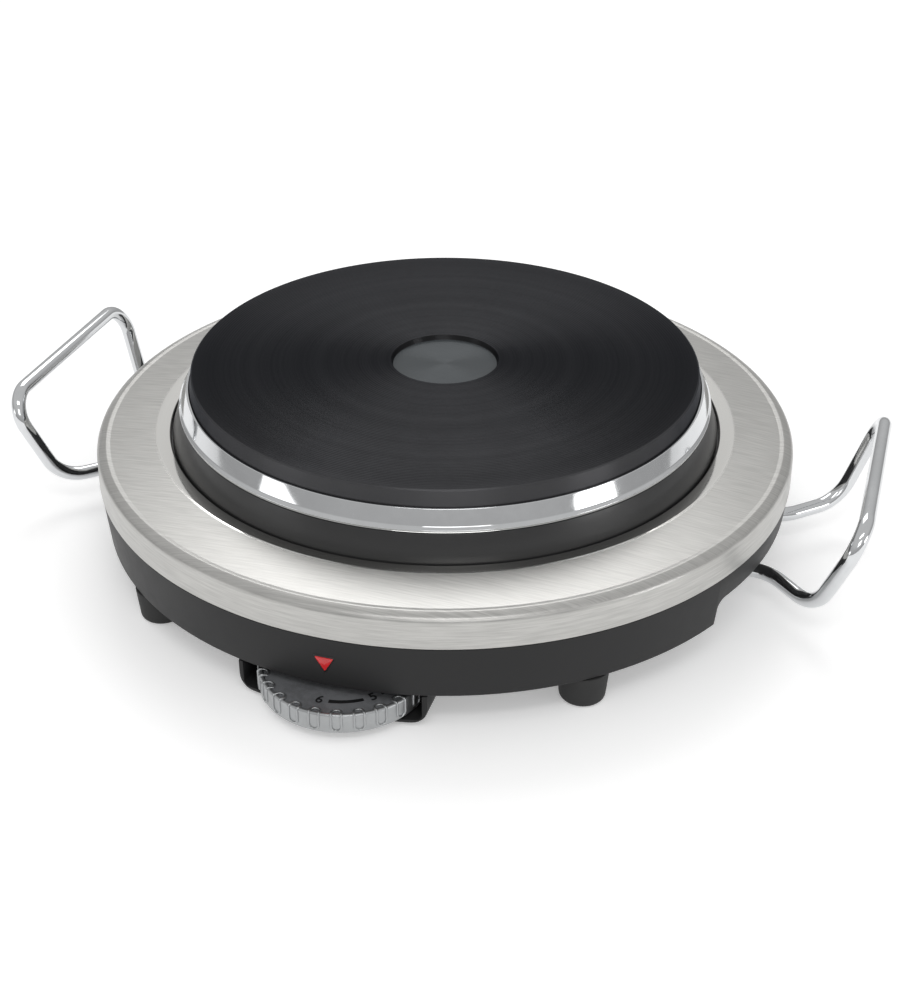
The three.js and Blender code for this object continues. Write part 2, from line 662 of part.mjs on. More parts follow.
function addPilotLamp() {
  const y = -144.4;
  const wedge = alongY(lensOutline(0), -155, -146.8);
  const front = turned([[0, 15], [149.2, 15], [150.6, 35], [0, 35]], 120);
  piece('pilot_lens', common(wedge, front), RED_LENS);
  piece('pilot_lamp', cylinder(1.6, -6, 6, 0, 0, 12).rotateY(Math.PI / 2)
    .translate(0, y, LENS_Z + 0.4), GLASS);
  piece('lamp_holder', box(-7, 7, y - 1.6, y + 1.6, REGULATOR_BOTTOM, LENS_Z - 1.6), CERAMIC);
}

// ---------------------------------------------------------------- mains side
function addInlet() {
  const gland = turned([
    [3.7, -GLAND_TIP], [5.6, -GLAND_TIP], [6.2, -GLAND_TIP + 0.7], [7.6, -154], [9, -154],
    [9, -151.5], [6, -151.5], [6, -146.8], [7, -146.8], [7, -144.4], [3.7, -144.4],
  ], 20).rotateX(Math.PI / 2).translate(0, 0, GLAND_Z);
  piece('cord_gland', gland, RUBBER);
  const low = REGULATOR_BOTTOM;
  piece('cord_clamp', alongY(outline([
    [-13, low], [-6, low], [-6, 31], [-4, 33], [4, 33], [6, 31], [6, low], [13, low],
    [13, low + 1.6], [7.6, low + 1.6], [7.6, 31.6], [4.7, 34.6], [-4.7, 34.6], [-7.6, 31.6],
    [-7.6, low + 1.6], [-13, low + 1.6],
  ]), 130, 140), BLACK_PLASTIC);
  piece('mains_terminal', cut(
    box(-17, 17, 112, 126, low, 33),
    ...[-11, 0, 11].map((x) => cylinder(2.4, 27, 35, x, 119, 10)),
  ), CERAMIC);
}

function addLead(name, points, material) {
  const path = new THREE.CatmullRomCurve3(points.map((p) => new THREE.Vector3(...p)));
  piece(name, bar(path, LEAD_R, 20, 6), material);
}

function addLeads() {
  addLead('lead_live', [
    [-11, 111, 27], [-12, 106, 27], [-40, 94, 26], [-86, 56, 26], [-104, 0, 26], [-86, -58, 26],
    [-36, -90, 28], [-7, -100, 30], [-5, -105, 30.5],
  ], BROWN_SLEEVE);
  addLead('lead_switched', [
    [5, -105, 30.5], [8, -100, 30], [26, -78, 28], [36, -30, 26], [34, 22, 27], [16, 52, 33],
    [3, 66, 41], [3, 65, 46.5], [6, 58, 48.4], [8, 54, 49.6], [8, 53.6, 51.2],
  ], RED_SLEEVE);
  addLead('lead_neutral', [
    [0, 111, 27], [0, 107, 27], [-2, 96, 29], [-3, 78, 35], [-3, 67, 41.5], [-3, 65, 46.5],
    [-6, 58, 48.4], [-8, 54, 49.6], [-8, 53.6, 51.2],
  ], BLUE_SLEEVE);
  addLead('lead_earth', [
    [11, 111, 27], [11.5, 107, 27], [20, 84, 26], [20, 44, 28], [14, 20, 34], [11, 8, 39], [10.5, 5, 41],
  ], GREEN_SLEEVE);
}

addPlate();
addPlateMount();
addTrimRing();
addCollar();
addTopCover();
addBase();
addFeet();
addHandles();
addDial();
addShroud();
addRegulator();
addPilotLamp();
addInlet();
addLeads();

export default hotPlateBurner;
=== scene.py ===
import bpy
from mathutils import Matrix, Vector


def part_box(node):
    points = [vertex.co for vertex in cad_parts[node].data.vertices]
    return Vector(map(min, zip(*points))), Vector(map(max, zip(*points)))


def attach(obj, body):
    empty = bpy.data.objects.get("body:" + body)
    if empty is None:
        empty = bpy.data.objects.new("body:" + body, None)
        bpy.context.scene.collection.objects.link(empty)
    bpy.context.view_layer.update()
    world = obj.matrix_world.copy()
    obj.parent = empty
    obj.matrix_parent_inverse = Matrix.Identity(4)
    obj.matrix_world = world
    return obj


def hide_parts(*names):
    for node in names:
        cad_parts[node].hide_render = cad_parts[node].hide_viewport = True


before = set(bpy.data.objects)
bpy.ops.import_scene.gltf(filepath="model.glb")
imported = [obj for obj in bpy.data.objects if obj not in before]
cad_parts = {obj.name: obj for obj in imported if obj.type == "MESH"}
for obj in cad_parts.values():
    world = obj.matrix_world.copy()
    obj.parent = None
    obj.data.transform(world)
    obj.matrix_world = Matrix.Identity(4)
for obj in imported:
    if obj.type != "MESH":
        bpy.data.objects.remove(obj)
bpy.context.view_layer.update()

import math

import bmesh
import bpy
from bpy.props import FloatProperty, FloatVectorProperty, IntProperty, PointerProperty
from mathutils import Matrix, Vector

bl_info = {
    "name": "Single Hot Plate",
    "version": (1, 0, 0),
    "blender": (4, 5, 0),
    "location": "View3D > Sidebar > Hot Plate",
    "description": "Builds the visible pieces and finishes of a single electric hot plate",
    "category": "Object",
}

# ------------------------------------------------------------------ measures
MM = 0.001
Z_AXIS = Vector((0, 0, 1))


def low(node):
    """Lowest corner of a node's box, in millimetres."""
    return Vector(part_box(node)[0]) / MM


def high(node):
    """Highest corner of a node's box, in millimetres."""
    return Vector(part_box(node)[1]) / MM


def middle(node):
    """Centre of a node's box, in millimetres."""
    return (low(node) + high(node)) / 2


PLATE_R = high("hotplate").x
PLATE_TOP = high("hotplate").z
PLATE_SIDE = PLATE_TOP - high("spill_ring").z  # height of plate above its trim ring
RECESS_R = 23.2
RECESS_FLOOR = PLATE_TOP - 2.4
RING_R = high("spill_ring").x
RING_FOOT = low("spill_ring").z
COLLAR_TOP = high("support_collar").z
COLLAR_TOP_R = 114.8
COLLAR_R = 118.7
COVER_R = high("top_cover").x
CREST_R = 126.0  # end of the cover's polished lip
CREST_Z = high("top_cover").z
COVER_FOOT = low("top_cover").z
BASE_R = high("base_housing").x
BASE_FOOT_R = BASE_R - 2.0
BASE_BOTTOM = low("base_housing").z
BASE_JOINT = COVER_FOOT - 0.35  # parting line below the cover
WALL_R = 147.5
FLOOR_Z = 18.6
FLOOR_T = 2.0
ARCH_HALF = 67.0
ARCH_TOP = 27.0
ARCH_BACK = 128.0
DIAL = Vector((0, middle("knob_body").y, 0))
DIAL_R = middle("knob_grip_ring").x + (high("knob_grip_ring").x - low("knob_grip_ring").x) / 2
DIAL_LOW = low("knob_grip_ring").z
DIAL_TOP = high("knob_grip_ring").z
DIAL_WALL_R = DIAL_R - 0.5
FACE_R = high("knob_body").x
FACE_Z = DIAL_TOP - 0.9
SHROUD_HALF = 38.4
SHROUD_LOW = low("knob_shroud").z
WIRE_R = 3.25
LEG_Z = low("handle_right").z + WIRE_R
GRIP_X = high("handle_right").x - WIRE_R
GRIP_Y = high("handle_right").y - WIRE_R
GRIP_Z = high("handle_right").z - WIRE_R
LEG_Y = 23.0
GLAND_Z = middle("cord_gland").z
GLAND_TIP = high("cord_gland").y
GAP = 0.35  # between the base's foot and the pieces under it
SCREW_HOLE_R = 2.0
FEET = ("front_right", "rear_right", "rear_left", "front_left")


# ------------------------------------------------------------------ settings
class HotPlateSizes(bpy.types.PropertyGroup):
    """Sizes of the fine detail that the frame leaves open."""

    round_steps: IntProperty(
        name="Round Steps", description="Facets round each large turned piece", default=240, min=48
    )
    groove_pitch: FloatProperty(
        name="Groove Pitch", description="Distance between the plate's turned grooves",
        default=1.15 * MM, unit="LENGTH", precision=5,
    )
    beads: IntProperty(
        name="Grip Beads", description="Raised grip loops round the dial", default=24, min=3
    )
    bead_radius: FloatProperty(
        name="Bead Radius", description="Half-thickness of each grip loop",
        default=0.55 * MM, unit="LENGTH", precision=5,
    )
    figure_height: FloatProperty(
        name="Figure Height", description="Height of the dial's figures",
        default=4.2 * MM, unit="LENGTH", precision=5,
    )
    figure_step: FloatProperty(
        name="Figure Step", description="Angle from one figure to the next",
        default=math.radians(49.2), subtype="ANGLE",
    )


class HotPlateColours(bpy.types.PropertyGroup):
    """Colours of the finishes."""

    plate: FloatVectorProperty(
        name="Plate", description="Coated cast iron", subtype="COLOR", size=4,
        default=(0.031, 0.031, 0.0325, 1), min=0, max=1,
    )
    steel: FloatVectorProperty(
        name="Steel", description="Brushed cover", subtype="COLOR", size=4,
        default=(0.50, 0.495, 0.478, 1), min=0, max=1,
    )
    body: FloatVectorProperty(
        name="Body", description="Black base and shroud", subtype="COLOR", size=4,
        default=(0.017, 0.017, 0.0175, 1), min=0, max=1,
    )
    face: FloatVectorProperty(
        name="Dial Face", description="Grey top of the dial", subtype="COLOR", size=4,
        default=(0.19, 0.195, 0.205, 1), min=0, max=1,
    )
    lens: FloatVectorProperty(
        name="Lens", description="Pilot lens", subtype="COLOR", size=4,
        default=(0.62, 0.012, 0.016, 1), min=0, max=1,
    )


# ------------------------------------------------------------------ shapes
def outline(corners, closed=True):
    """Outline points in millimetres from (radius, height, fillet) corners, each rounded to its fillet."""
    points = []
    count = len(corners)
    for i, (r, z, fillet) in enumerate(corners):
        here = Vector((r, z))
        if not fillet or (not closed and i in (0, count - 1)):
            points.append(here)
            continue
        before = Vector(corners[i - 1][:2]) - here
        after = Vector(corners[(i + 1) % count][:2]) - here
        before.normalize()
        after.normalize()
        corner_angle = before.angle(after)
        reach = fillet / math.tan(corner_angle / 2)
        centre = here + (before + after).normalized() * fillet / math.sin(corner_angle / 2)
        start = here + before * reach - centre
        sweep = start.angle_signed(here + after * reach - centre)
        steps = max(2, round(abs(math.degrees(sweep)) / 14))
        for step in range(steps + 1):
            angle = -sweep * step / steps
            turn = Matrix.Rotation(angle, 2)
            points.append(centre + turn @ start)
    return points


def new_piece(name, bm, material, body="body", sharp=35):
    """Turns a bmesh into a finished piece that rides on a body."""
    mesh = bpy.data.meshes.new(name)
    bm.to_mesh(mesh)
    bm.free()
    piece = bpy.data.objects.new(name, mesh)
    bpy.context.scene.collection.objects.link(piece)
    mesh.shade_smooth()
    mesh.set_sharp_from_angle(angle=math.radians(sharp))
    if material:
        mesh.materials.append(material)
        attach(piece, body)
    return piece


def spun(points, steps, axis_place=Vector((0, 0, 0)), closed=True):
    """Bmesh turned about an upright axis from an outline in millimetres."""
    bm = bmesh.new()
    verts = [bm.verts.new(Vector((p.x, 0, p.y)) * MM + axis_place * MM) for p in points]
    pairs = list(zip(verts, verts[1:]))
    if closed:
        pairs.append((verts[-1], verts[0]))
    edges = [bm.edges.new(pair) for pair in pairs]
    bmesh.ops.spin(
        bm, geom=verts + edges, cent=axis_place * MM, axis=Z_AXIS, angle=2 * math.pi,
        steps=steps, use_merge=True, use_duplicate=False,
    )
    bmesh.ops.remove_doubles(bm, verts=bm.verts, dist=1e-6)
    bmesh.ops.dissolve_degenerate(bm, edges=bm.edges, dist=1e-7)
    bmesh.ops.recalc_face_normals(bm, faces=bm.faces)
    return bm


def block(bm, low_corner, high_corner, matrix=Matrix(), fillet=0.0, along=None, segments=6):
    """Adds a box between two corners in millimetres, its edges along one axis rounded."""
    size = (Vector(high_corner) - Vector(low_corner)) * MM
    place = (Vector(high_corner) + Vector(low_corner)) * MM / 2
    made = bmesh.ops.create_cube(bm, size=1)["verts"]
    bmesh.ops.scale(bm, vec=size, verts=made)
    bmesh.ops.translate(bm, vec=place, verts=made)
    if fillet:
        edges = {e for v in made for e in v.link_edges}
        lined = [e for e in edges if abs((e.verts[0].co - e.verts[1].co).normalized()[along]) > 0.9]
        made = set(made)
        result = bmesh.ops.bevel(
            bm, geom=lined, offset=fillet * MM, segments=segments, profile=0.5,
            affect="EDGES", material=-1,
        )
        made = {v for v in made if v.is_valid} | set(result["verts"])
    bmesh.ops.transform(bm, matrix=matrix, verts=list(made))


def drum(bm, radius, low_z, high_z, x=0.0, y=0.0, segments=32, matrix=Matrix()):
    """Adds an upright cylinder, in millimetres."""
    made = bmesh.ops.create_cone(
        bm, cap_ends=True, segments=segments, radius1=radius * MM, radius2=radius * MM,
        depth=(high_z - low_z) * MM,
        matrix=matrix @ Matrix.Translation(Vector((x, y, (low_z + high_z) / 2)) * MM),
    )
    return made["verts"]


def carve(piece, bm, operation="DIFFERENCE"):
    """Cuts a bmesh's shape out of a piece, or joins it on."""
    tool = new_piece("carving_tool", bm, None)
    step = piece.modifiers.new(operation, "BOOLEAN")
    step.operation = operation
    step.solver = "EXACT"
    step.object = tool
    graph = bpy.context.evaluated_depsgraph_get()
    carved = bpy.data.meshes.new_from_object(piece.evaluated_get(graph))
    piece.modifiers.clear()
    tidied = bmesh.new()
    tidied.from_mesh(carved)
    bmesh.ops.remove_doubles(tidied, verts=tidied.verts, dist=3e-6)
    bmesh.ops.dissolve_degenerate(tidied, edges=tidied.edges, dist=1e-6)
    tidied.to_mesh(carved)
    tidied.free()
    worn = piece.data
    piece.data = carved
    carved.name = worn.name
    bpy.data.meshes.remove(worn)
    bpy.data.meshes.remove(tool.data)


def soften(piece, width, segments=2, angle=35):
    """Rounds the sharp edges of a carved piece and smooths its shading."""
    step = piece.modifiers.new("Soft edges", "BEVEL")
    step.width = width * MM
    step.segments = segments
    step.limit_method = "ANGLE"
    step.angle_limit = math.radians(angle)
    step.use_clamp_overlap = True
    step.harden_normals = False
    graph = bpy.context.evaluated_depsgraph_get()
    softened = bpy.data.meshes.new_from_object(piece.evaluated_get(graph))
    piece.modifiers.clear()
    worn = piece.data
    piece.data = softened
    softened.name = worn.name
    bpy.data.meshes.remove(worn)
    softened.shade_smooth()
    softened.set_sharp_from_angle(angle=math.radians(40))


def bent_wire(corners, bends, radius, sides=28):
    """Bmesh of a round wire: straight between its corners, each corner bent to its own radius."""
    bm = bmesh.new()
    heading = (corners[1] - corners[0]).normalized()
    aim = Matrix.Translation(corners[0] * MM) @ heading.to_track_quat("Z", "Y").to_matrix().to_4x4()
    verts = bmesh.ops.create_circle(bm, segments=sides, radius=radius * MM, matrix=aim)["verts"]
    edges = list({e for v in verts for e in v.link_edges})
    place = corners[0]

    def run_to(target):
        made = bmesh.ops.extrude_edge_only(bm, edges=edges)["geom"]
        moved = [g for g in made if isinstance(g, bmesh.types.BMVert)]
        bmesh.ops.translate(bm, vec=(target - place) * MM, verts=moved)
        return [
            e for e in made
            if isinstance(e, bmesh.types.BMEdge) and all(v in moved for v in e.verts)
        ]

    for i, bend in enumerate(bends, start=1):
        ahead = (corners[i] - corners[i - 1]).normalized()
        beyond = (corners[i + 1] - corners[i]).normalized()
        sweep = ahead.angle(beyond)
        reach = bend * math.tan(sweep / 2)
        start = corners[i] - ahead * reach
        edges = run_to(start)
        inward = (beyond - ahead * math.cos(sweep)).normalized()
        ring = list({v for e in edges for v in e.verts})
        turned = bmesh.ops.spin(
            bm, geom=ring + edges, cent=(start + inward * bend) * MM, axis=ahead.cross(beyond),
            angle=sweep, steps=max(6, round(math.degrees(sweep) / 6)), use_merge=False,
        )["geom_last"]
        edges = [g for g in turned if isinstance(g, bmesh.types.BMEdge)]
        place = corners[i] + beyond * reach
    run_to(corners[-1])
    ends = [e for e in bm.edges if e.is_boundary]
    bmesh.ops.holes_fill(bm, edges=ends, sides=0)
    bmesh.ops.recalc_face_normals(bm, faces=bm.faces)
    rims = [e for e in bm.edges if any(len(f.verts) > 4 for f in e.link_faces)]
    bmesh.ops.bevel(
        bm, geom=rims, offset=0.7 * MM, segments=3, profile=0.5, affect="EDGES", material=-1
    )
    return bm


# ------------------------------------------------------------------ material nodes
class Tree:
    """A node tree whose nodes are added with their settings and inputs in one call."""

    def __init__(self, tree):
        self.tree = tree

    def add(self, kind, inputs=(), **settings):
        node = self.tree.nodes.new(kind)
        for key, value in settings.items():
            setattr(node, key, value)
        pairs = inputs.items() if isinstance(inputs, dict) else enumerate(inputs)
        for key, value in pairs:
            if value is None:
                continue
            if isinstance(value, bpy.types.NodeSocket):
                self.tree.links.new(value, node.inputs[key])
            else:
                node.inputs[key].default_value = value
        return node

    def math(self, operation, a, b=None):
        return self.add("ShaderNodeMath", (a, b), operation=operation).outputs[0]

    def noise(self, vector, scale, detail=2.0, roughness=0.5):
        node = self.add("ShaderNodeTexNoise", {
            "Vector": vector, "Scale": scale, "Detail": detail, "Roughness": roughness,
        })
        return node.outputs["Fac"]

    def spread(self, value, low_in, high_in, low_out=0.0, high_out=1.0):
        node = self.add(
            "ShaderNodeMapRange", (value, low_in, high_in, low_out, high_out),
            interpolation_type="SMOOTHSTEP",
        )
        return node.outputs[0]

    def mix(self, factor, a, b):
        node = self.add("ShaderNodeMix", {0: factor, 6: a, 7: b}, data_type="RGBA")
        return node.outputs[2]

    def place(self):
        return self.add("ShaderNodeTexCoord").outputs["Object"]


def new_group(name, inputs, outputs):
    """Node group with number or vector inputs and number outputs."""
    group = bpy.data.node_groups.new(name, "ShaderNodeTree")
    for socket_name, kind, default in inputs:
        socket = group.interface.new_socket(socket_name, in_out="INPUT", socket_type=kind)
        if default is not None:
            socket.default_value = default
    for socket_name in outputs:
        group.interface.new_socket(socket_name, in_out="OUTPUT", socket_type="NodeSocketFloat")
    tree = Tree(group)
    return group, tree, tree.add("NodeGroupInput").outputs, tree.add("NodeGroupOutput").inputs


def group_smudges():
    """Roughness that drifts a little over the surface, as handled metal and plastic do."""
    group, tree, given, result = new_group("Smudges", [
        ("Roughness", "NodeSocketFloat", 0.3),
        ("Spread", "NodeSocketFloat", 0.05),
        ("Scale", "NodeSocketFloat", 30.0),
    ], ["Roughness", "Mask"])
    place = tree.place()
    broad = tree.noise(place, given["Scale"], 3.0, 0.55)
    fine_scale = tree.math("MULTIPLY", given["Scale"], 7.0)
    fine = tree.noise(place, fine_scale, 2.0, 0.6)
    both = tree.math("ADD", tree.math("MULTIPLY", broad, 0.7), tree.math("MULTIPLY", fine, 0.3))
    mask = tree.spread(both, 0.35, 0.65)
    offset = tree.math("MULTIPLY", tree.math("SUBTRACT", mask, 0.5), given["Spread"])
    tree.tree.links.new(tree.math("ADD", given["Roughness"], offset), result["Roughness"])
    tree.tree.links.new(mask, result["Mask"])
    return group


def group_grain():
    """Fine moulded or cast grain, as a height."""
    group, tree, given, result = new_group("Grain", [
        ("Scale", "NodeSocketFloat", 1500.0),
        ("Vector", "NodeSocketVector", None),
    ], ["Height"])
    coarse = tree.noise(given["Vector"], given["Scale"], 2.0, 0.6)
    cells = tree.add("ShaderNodeTexVoronoi", {"Vector": given["Vector"], "Scale": given["Scale"]})
    pits = tree.math("MULTIPLY", cells.outputs["Distance"], 0.4)
    tree.tree.links.new(tree.math("ADD", coarse, pits), result["Height"])
    return group


def group_rings():
    """Turned grooves about an upright axis: their height, the radius and an uneven tone."""
    group, tree, given, result = new_group("Turned Grooves", [
        ("Vector", "NodeSocketVector", None),
        ("Pitch", "NodeSocketFloat", 0.001),
        ("Unevenness", "NodeSocketFloat", 0.35),
    ], ["Height", "Radius", "Tone"])
    parts = tree.add("ShaderNodeSeparateXYZ", (given["Vector"],)).outputs
    squares = tree.math("ADD", tree.math("MULTIPLY", parts[0], parts[0]),
                        tree.math("MULTIPLY", parts[1], parts[1]))
    radius = tree.math("SQRT", squares)
    turns = tree.math("DIVIDE", radius, given["Pitch"])
    wave = tree.math("SINE", tree.math("MULTIPLY", turns, 2 * math.pi))
    ring_place = tree.add("ShaderNodeCombineXYZ", (turns, 0.0, 0.0)).outputs[0]
    uneven = tree.noise(ring_place, 0.9, 2.0, 0.7)
    broad = tree.noise(ring_place, 0.12, 2.0, 0.6)
    deep = tree.math("MULTIPLY", uneven, given["Unevenness"])
    height = tree.math("ADD", tree.math("MULTIPLY", wave, 0.5), deep)
    links = tree.tree.links
    links.new(height, result["Height"])
    links.new(radius, result["Radius"])
    links.new(tree.spread(tree.math("ADD", uneven, broad), 0.7, 1.3), result["Tone"])
    return group


def group_brushing():
    """Long brushed scratches along X on level faces, and round the skirt on upright ones."""
    group, tree, given, result = new_group("Brushing", [
        ("Fineness", "NodeSocketFloat", 1900.0),
        ("Length", "NodeSocketFloat", 85.0),
    ], ["Height", "Tone"])
    parts = tree.add("ShaderNodeSeparateXYZ", (tree.place(),)).outputs
    facing = tree.add("ShaderNodeSeparateXYZ", (
        tree.add("ShaderNodeNewGeometry").outputs["Normal"],)).outputs
    level = tree.spread(tree.math("ABSOLUTE", facing[2]), 0.55, 0.75)
    around = tree.math("MULTIPLY", tree.math("ARCTAN2", parts[1], parts[0]), COVER_R * MM)

    def scratches(run, across):
        stretched = tree.add("ShaderNodeCombineXYZ", (
            tree.math("MULTIPLY", run, given["Length"]),
            tree.math("MULTIPLY", across, given["Fineness"]), 0.0)).outputs[0]
        fine = tree.noise(stretched, 1.0, 3.0, 0.6)
        broad = tree.noise(stretched, 0.5, 1.0, 0.5)
        return tree.math("ADD", tree.math("MULTIPLY", fine, 0.6), tree.math("MULTIPLY", broad, 0.4))

    flat = scratches(parts[0], parts[1])
    upright = scratches(around, parts[2])
    choose = tree.add("ShaderNodeMix", (level, None, upright, flat), data_type="FLOAT")
    height = choose.outputs[0]
    tree.tree.links.new(height, result["Height"])
    tree.tree.links.new(tree.spread(height, 0.3, 0.7), result["Tone"])
    return group


GROUPS = {}


def group(name):
    """The shared node group of that name, made when first asked for."""
    makers = {
        "Smudges": group_smudges,
        "Grain": group_grain,
        "Turned Grooves": group_rings,
        "Brushing": group_brushing,
    }
    if name not in GROUPS:
        GROUPS[name] = makers[name]()
    return GROUPS[name]


def new_material(name, colour, roughness, metallic=0.0, **shader):
    """Material with a Principled BSDF. Returns it with its tree and its shader's inputs."""
    material = bpy.data.materials.new(name)
    material.use_nodes = True
    tree = Tree(material.node_tree)
    inputs = material.node_tree.nodes["Principled BSDF"].inputs
    inputs["Base Color"].default_value = tuple(colour)[:3] + (1,)
    inputs["Roughness"].default_value = roughness
    inputs["Metallic"].default_value = metallic
    for key, value in shader.items():
        inputs[key.replace("_", " ")].default_value = value
    material.diffuse_color = tuple(colour)[:3] + (1,)
    return material, tree, inputs


def add_smudges(tree, inputs, spread, scale):
    """Lets the roughness of a shader drift about its set value."""
    smudges = tree.add("ShaderNodeGroup", node_tree=group("Smudges"))
    smudges.inputs["Roughness"].default_value = inputs["Roughness"].default_value
    smudges.inputs["Spread"].default_value = spread
    smudges.inputs["Scale"].default_value = scale
    tree.tree.links.new(smudges.outputs["Roughness"], inputs["Roughness"])
    return smudges.outputs["Mask"]


def add_bump(tree, inputs, height, depth_mm):
    """Feeds a height to a shader's normal, at a depth in millimetres."""
    bump = tree.add("ShaderNodeBump", {
        "Height": height, "Distance": depth_mm * MM, "Strength": 1.0,
    })
    tree.tree.links.new(bump.outputs["Normal"], inputs["Normal"])


def add_grain(tree, inputs, scale, depth_mm):
    """Gives a shader moulded or cast grain."""
    grain = tree.add("ShaderNodeGroup", node_tree=group("Grain"))
    grain.inputs["Scale"].default_value = scale
    tree.tree.links.new(tree.place(), grain.inputs["Vector"])
    add_bump(tree, inputs, grain.outputs["Height"], depth_mm)
    return grain.outputs["Height"]


def shaded(colour, brightness):
    """A colour made darker or lighter, with full alpha."""
    return tuple(min(1.0, c * brightness) for c in colour[:3]) + (1,)


def tint(tree, inputs, mask, dark, light):
    """Shades a base colour between two brightnesses of itself by a mask."""
    colour = inputs["Base Color"].default_value[:]
    tree.tree.links.new(
        tree.mix(mask, shaded(colour, dark), shaded(colour, light)), inputs["Base Color"])


def material_plate():
    """Black-coated cast iron, turned in fine rings, with a smooth grey centre recess and a painted
    highlight on its outer chamfer.
    """
    sizes = bpy.context.scene.hot_plate_sizes
    material, tree, inputs = new_material(
        "Turned cast iron", bpy.context.scene.hot_plate_colours.plate, 0.36, 0.92,
        Anisotropic=0.92, Anisotropic_Rotation=0.25, Specular_Tint=(0.42, 0.43, 0.45, 1),
    )
    rings = tree.add("ShaderNodeGroup", {"Vector": tree.place(), "Pitch": sizes.groove_pitch},
                     node_tree=group("Turned Grooves"))
    radius = rings.outputs["Radius"]
    recess = tree.spread(radius, (RECESS_R - 1.0) * MM, (RECESS_R - 0.6) * MM, 1.0, 0.0)
    turned_face = tree.spread(radius, (PLATE_R - 1.8) * MM, (PLATE_R - 1.5) * MM, 1.0, 0.0)
    coat = inputs["Base Color"].default_value[:]
    turned = tree.mix(rings.outputs["Tone"], shaded(coat, 0.88), shaded(coat, 1.12))
    # Painted highlight: the outer chamfer and side of the plate are painted 2.4 times lighter than the
    # coat.
    coat_with_painted_rim_highlight = tree.mix(turned_face, shaded(coat, 2.4), turned)
    tree.tree.links.new(tree.mix(recess, coat_with_painted_rim_highlight, (0.06, 0.067, 0.071, 1)), inputs["Base Color"])
    tree.tree.links.new(
        tree.math("SUBTRACT", 0.92, tree.math("MULTIPLY", recess, 0.7)), inputs["Metallic"])
    add_smudges(tree, inputs, 0.06, 24)
    shown = tree.math("MULTIPLY", tree.math("SUBTRACT", 1.0, recess), turned_face)
    grooves = tree.math("MULTIPLY", rings.outputs["Height"], shown)
    add_bump(tree, inputs, grooves, 0.035)
    tangent = tree.add("ShaderNodeTangent", direction_type="RADIAL", axis="Z")
    tree.tree.links.new(tangent.outputs[0], inputs["Tangent"])
    return material


def material_chrome():
    """Mirror-polished chrome with faint handling marks."""
    material, tree, inputs = new_material("Polished chrome", (0.66, 0.67, 0.68), 0.07, 1.0)
    mask = add_smudges(tree, inputs, 0.05, 35)
    tint(tree, inputs, mask, 0.97, 1.03)
    return material


def material_enamel():
    """Satin black enamel."""
    material, tree, inputs = new_material(
        "Black enamel", (0.018, 0.018, 0.0185), 0.36,
        Specular_IOR_Level=0.5, Coat_Weight=0.1, Coat_Roughness=0.2,
    )
    add_smudges(tree, inputs, 0.08, 30)
    add_grain(tree, inputs, 900, 0.008)
    return material


def material_steel():
    """Brushed stainless steel whose inner lip is polished and painted lighter, a painted sheen for its
    bright reflection.
    """
    material, tree, inputs = new_material(
        "Brushed steel", bpy.context.scene.hot_plate_colours.steel, 0.36, 1.0
    )
    brushing = tree.add("ShaderNodeGroup", node_tree=group("Brushing"))
    rings = tree.add("ShaderNodeGroup", {"Vector": tree.place()}, node_tree=group("Turned Grooves"))
    polished_lip_and_painted_sheen = tree.spread(rings.outputs["Radius"], (CREST_R - 0.5) * MM, (CREST_R + 0.2) * MM, 1, 0)
    smudges = tree.add("ShaderNodeGroup", node_tree=group("Smudges"))
    smudges.inputs["Roughness"].default_value = 0.37
    smudges.inputs["Spread"].default_value = 0.02
    smudges.inputs["Scale"].default_value = 12
    grooved = tree.math("ADD", smudges.outputs["Roughness"],
                        tree.math("MULTIPLY", tree.math("SUBTRACT", brushing.outputs["Tone"], 0.5), 0.05))
    blend = tree.add("ShaderNodeMix", (polished_lip_and_painted_sheen, None, grooved, 0.09), data_type="FLOAT")
    tree.tree.links.new(blend.outputs[0], inputs["Roughness"])
    colour = inputs["Base Color"].default_value[:]
    brushed = tree.mix(brushing.outputs["Tone"], shaded(colour, 0.88), shaded(colour, 1.1))
    # Painted sheen: the polished lip is painted 1.7 times lighter than the brushed steel.
    tree.tree.links.new(tree.mix(polished_lip_and_painted_sheen, brushed, shaded(colour, 1.7)), inputs["Base Color"])
    lines = tree.math("MULTIPLY", brushing.outputs["Height"], tree.math("SUBTRACT", 1.0, polished_lip_and_painted_sheen))
    add_bump(tree, inputs, lines, 0.0022)
    return material


def material_body():
    """Black base moulding with a very fine grain."""
    material, tree, inputs = new_material(
        "Black body", bpy.context.scene.hot_plate_colours.body, 0.5, Specular_IOR_Level=0.28
    )
    mask = add_smudges(tree, inputs, 0.08, 22)
    add_grain(tree, inputs, 2200, 0.012)
    tint(tree, inputs, mask, 0.92, 1.08)
    return material


def material_grip():
    """Silver metallised dial ring."""
    material, tree, inputs = new_material("Silver grip", (0.42, 0.43, 0.435), 0.3, 0.85)
    mask = add_smudges(tree, inputs, 0.05, 60)
    add_grain(tree, inputs, 2600, 0.002)
    tint(tree, inputs, mask, 0.94, 1.04)
    return material


def material_face():
    """Metallic grey dial face."""
    material, tree, inputs = new_material(
        "Grey dial face", bpy.context.scene.hot_plate_colours.face, 0.42, 0.35
    )
    mask = add_smudges(tree, inputs, 0.06, 60)
    flakes = add_grain(tree, inputs, 3200, 0.006)
    tint(tree, inputs, tree.spread(tree.math("ADD", flakes, mask), 0.5, 1.6), 0.85, 1.2)
    return material


def material_print():
    """Black printing on the dial."""
    material, tree, inputs = new_material("Dial print", (0.008, 0.008, 0.009), 0.5)
    mask = add_smudges(tree, inputs, 0.05, 200)
    tint(tree, inputs, mask, 0.8, 1.2)
    return material


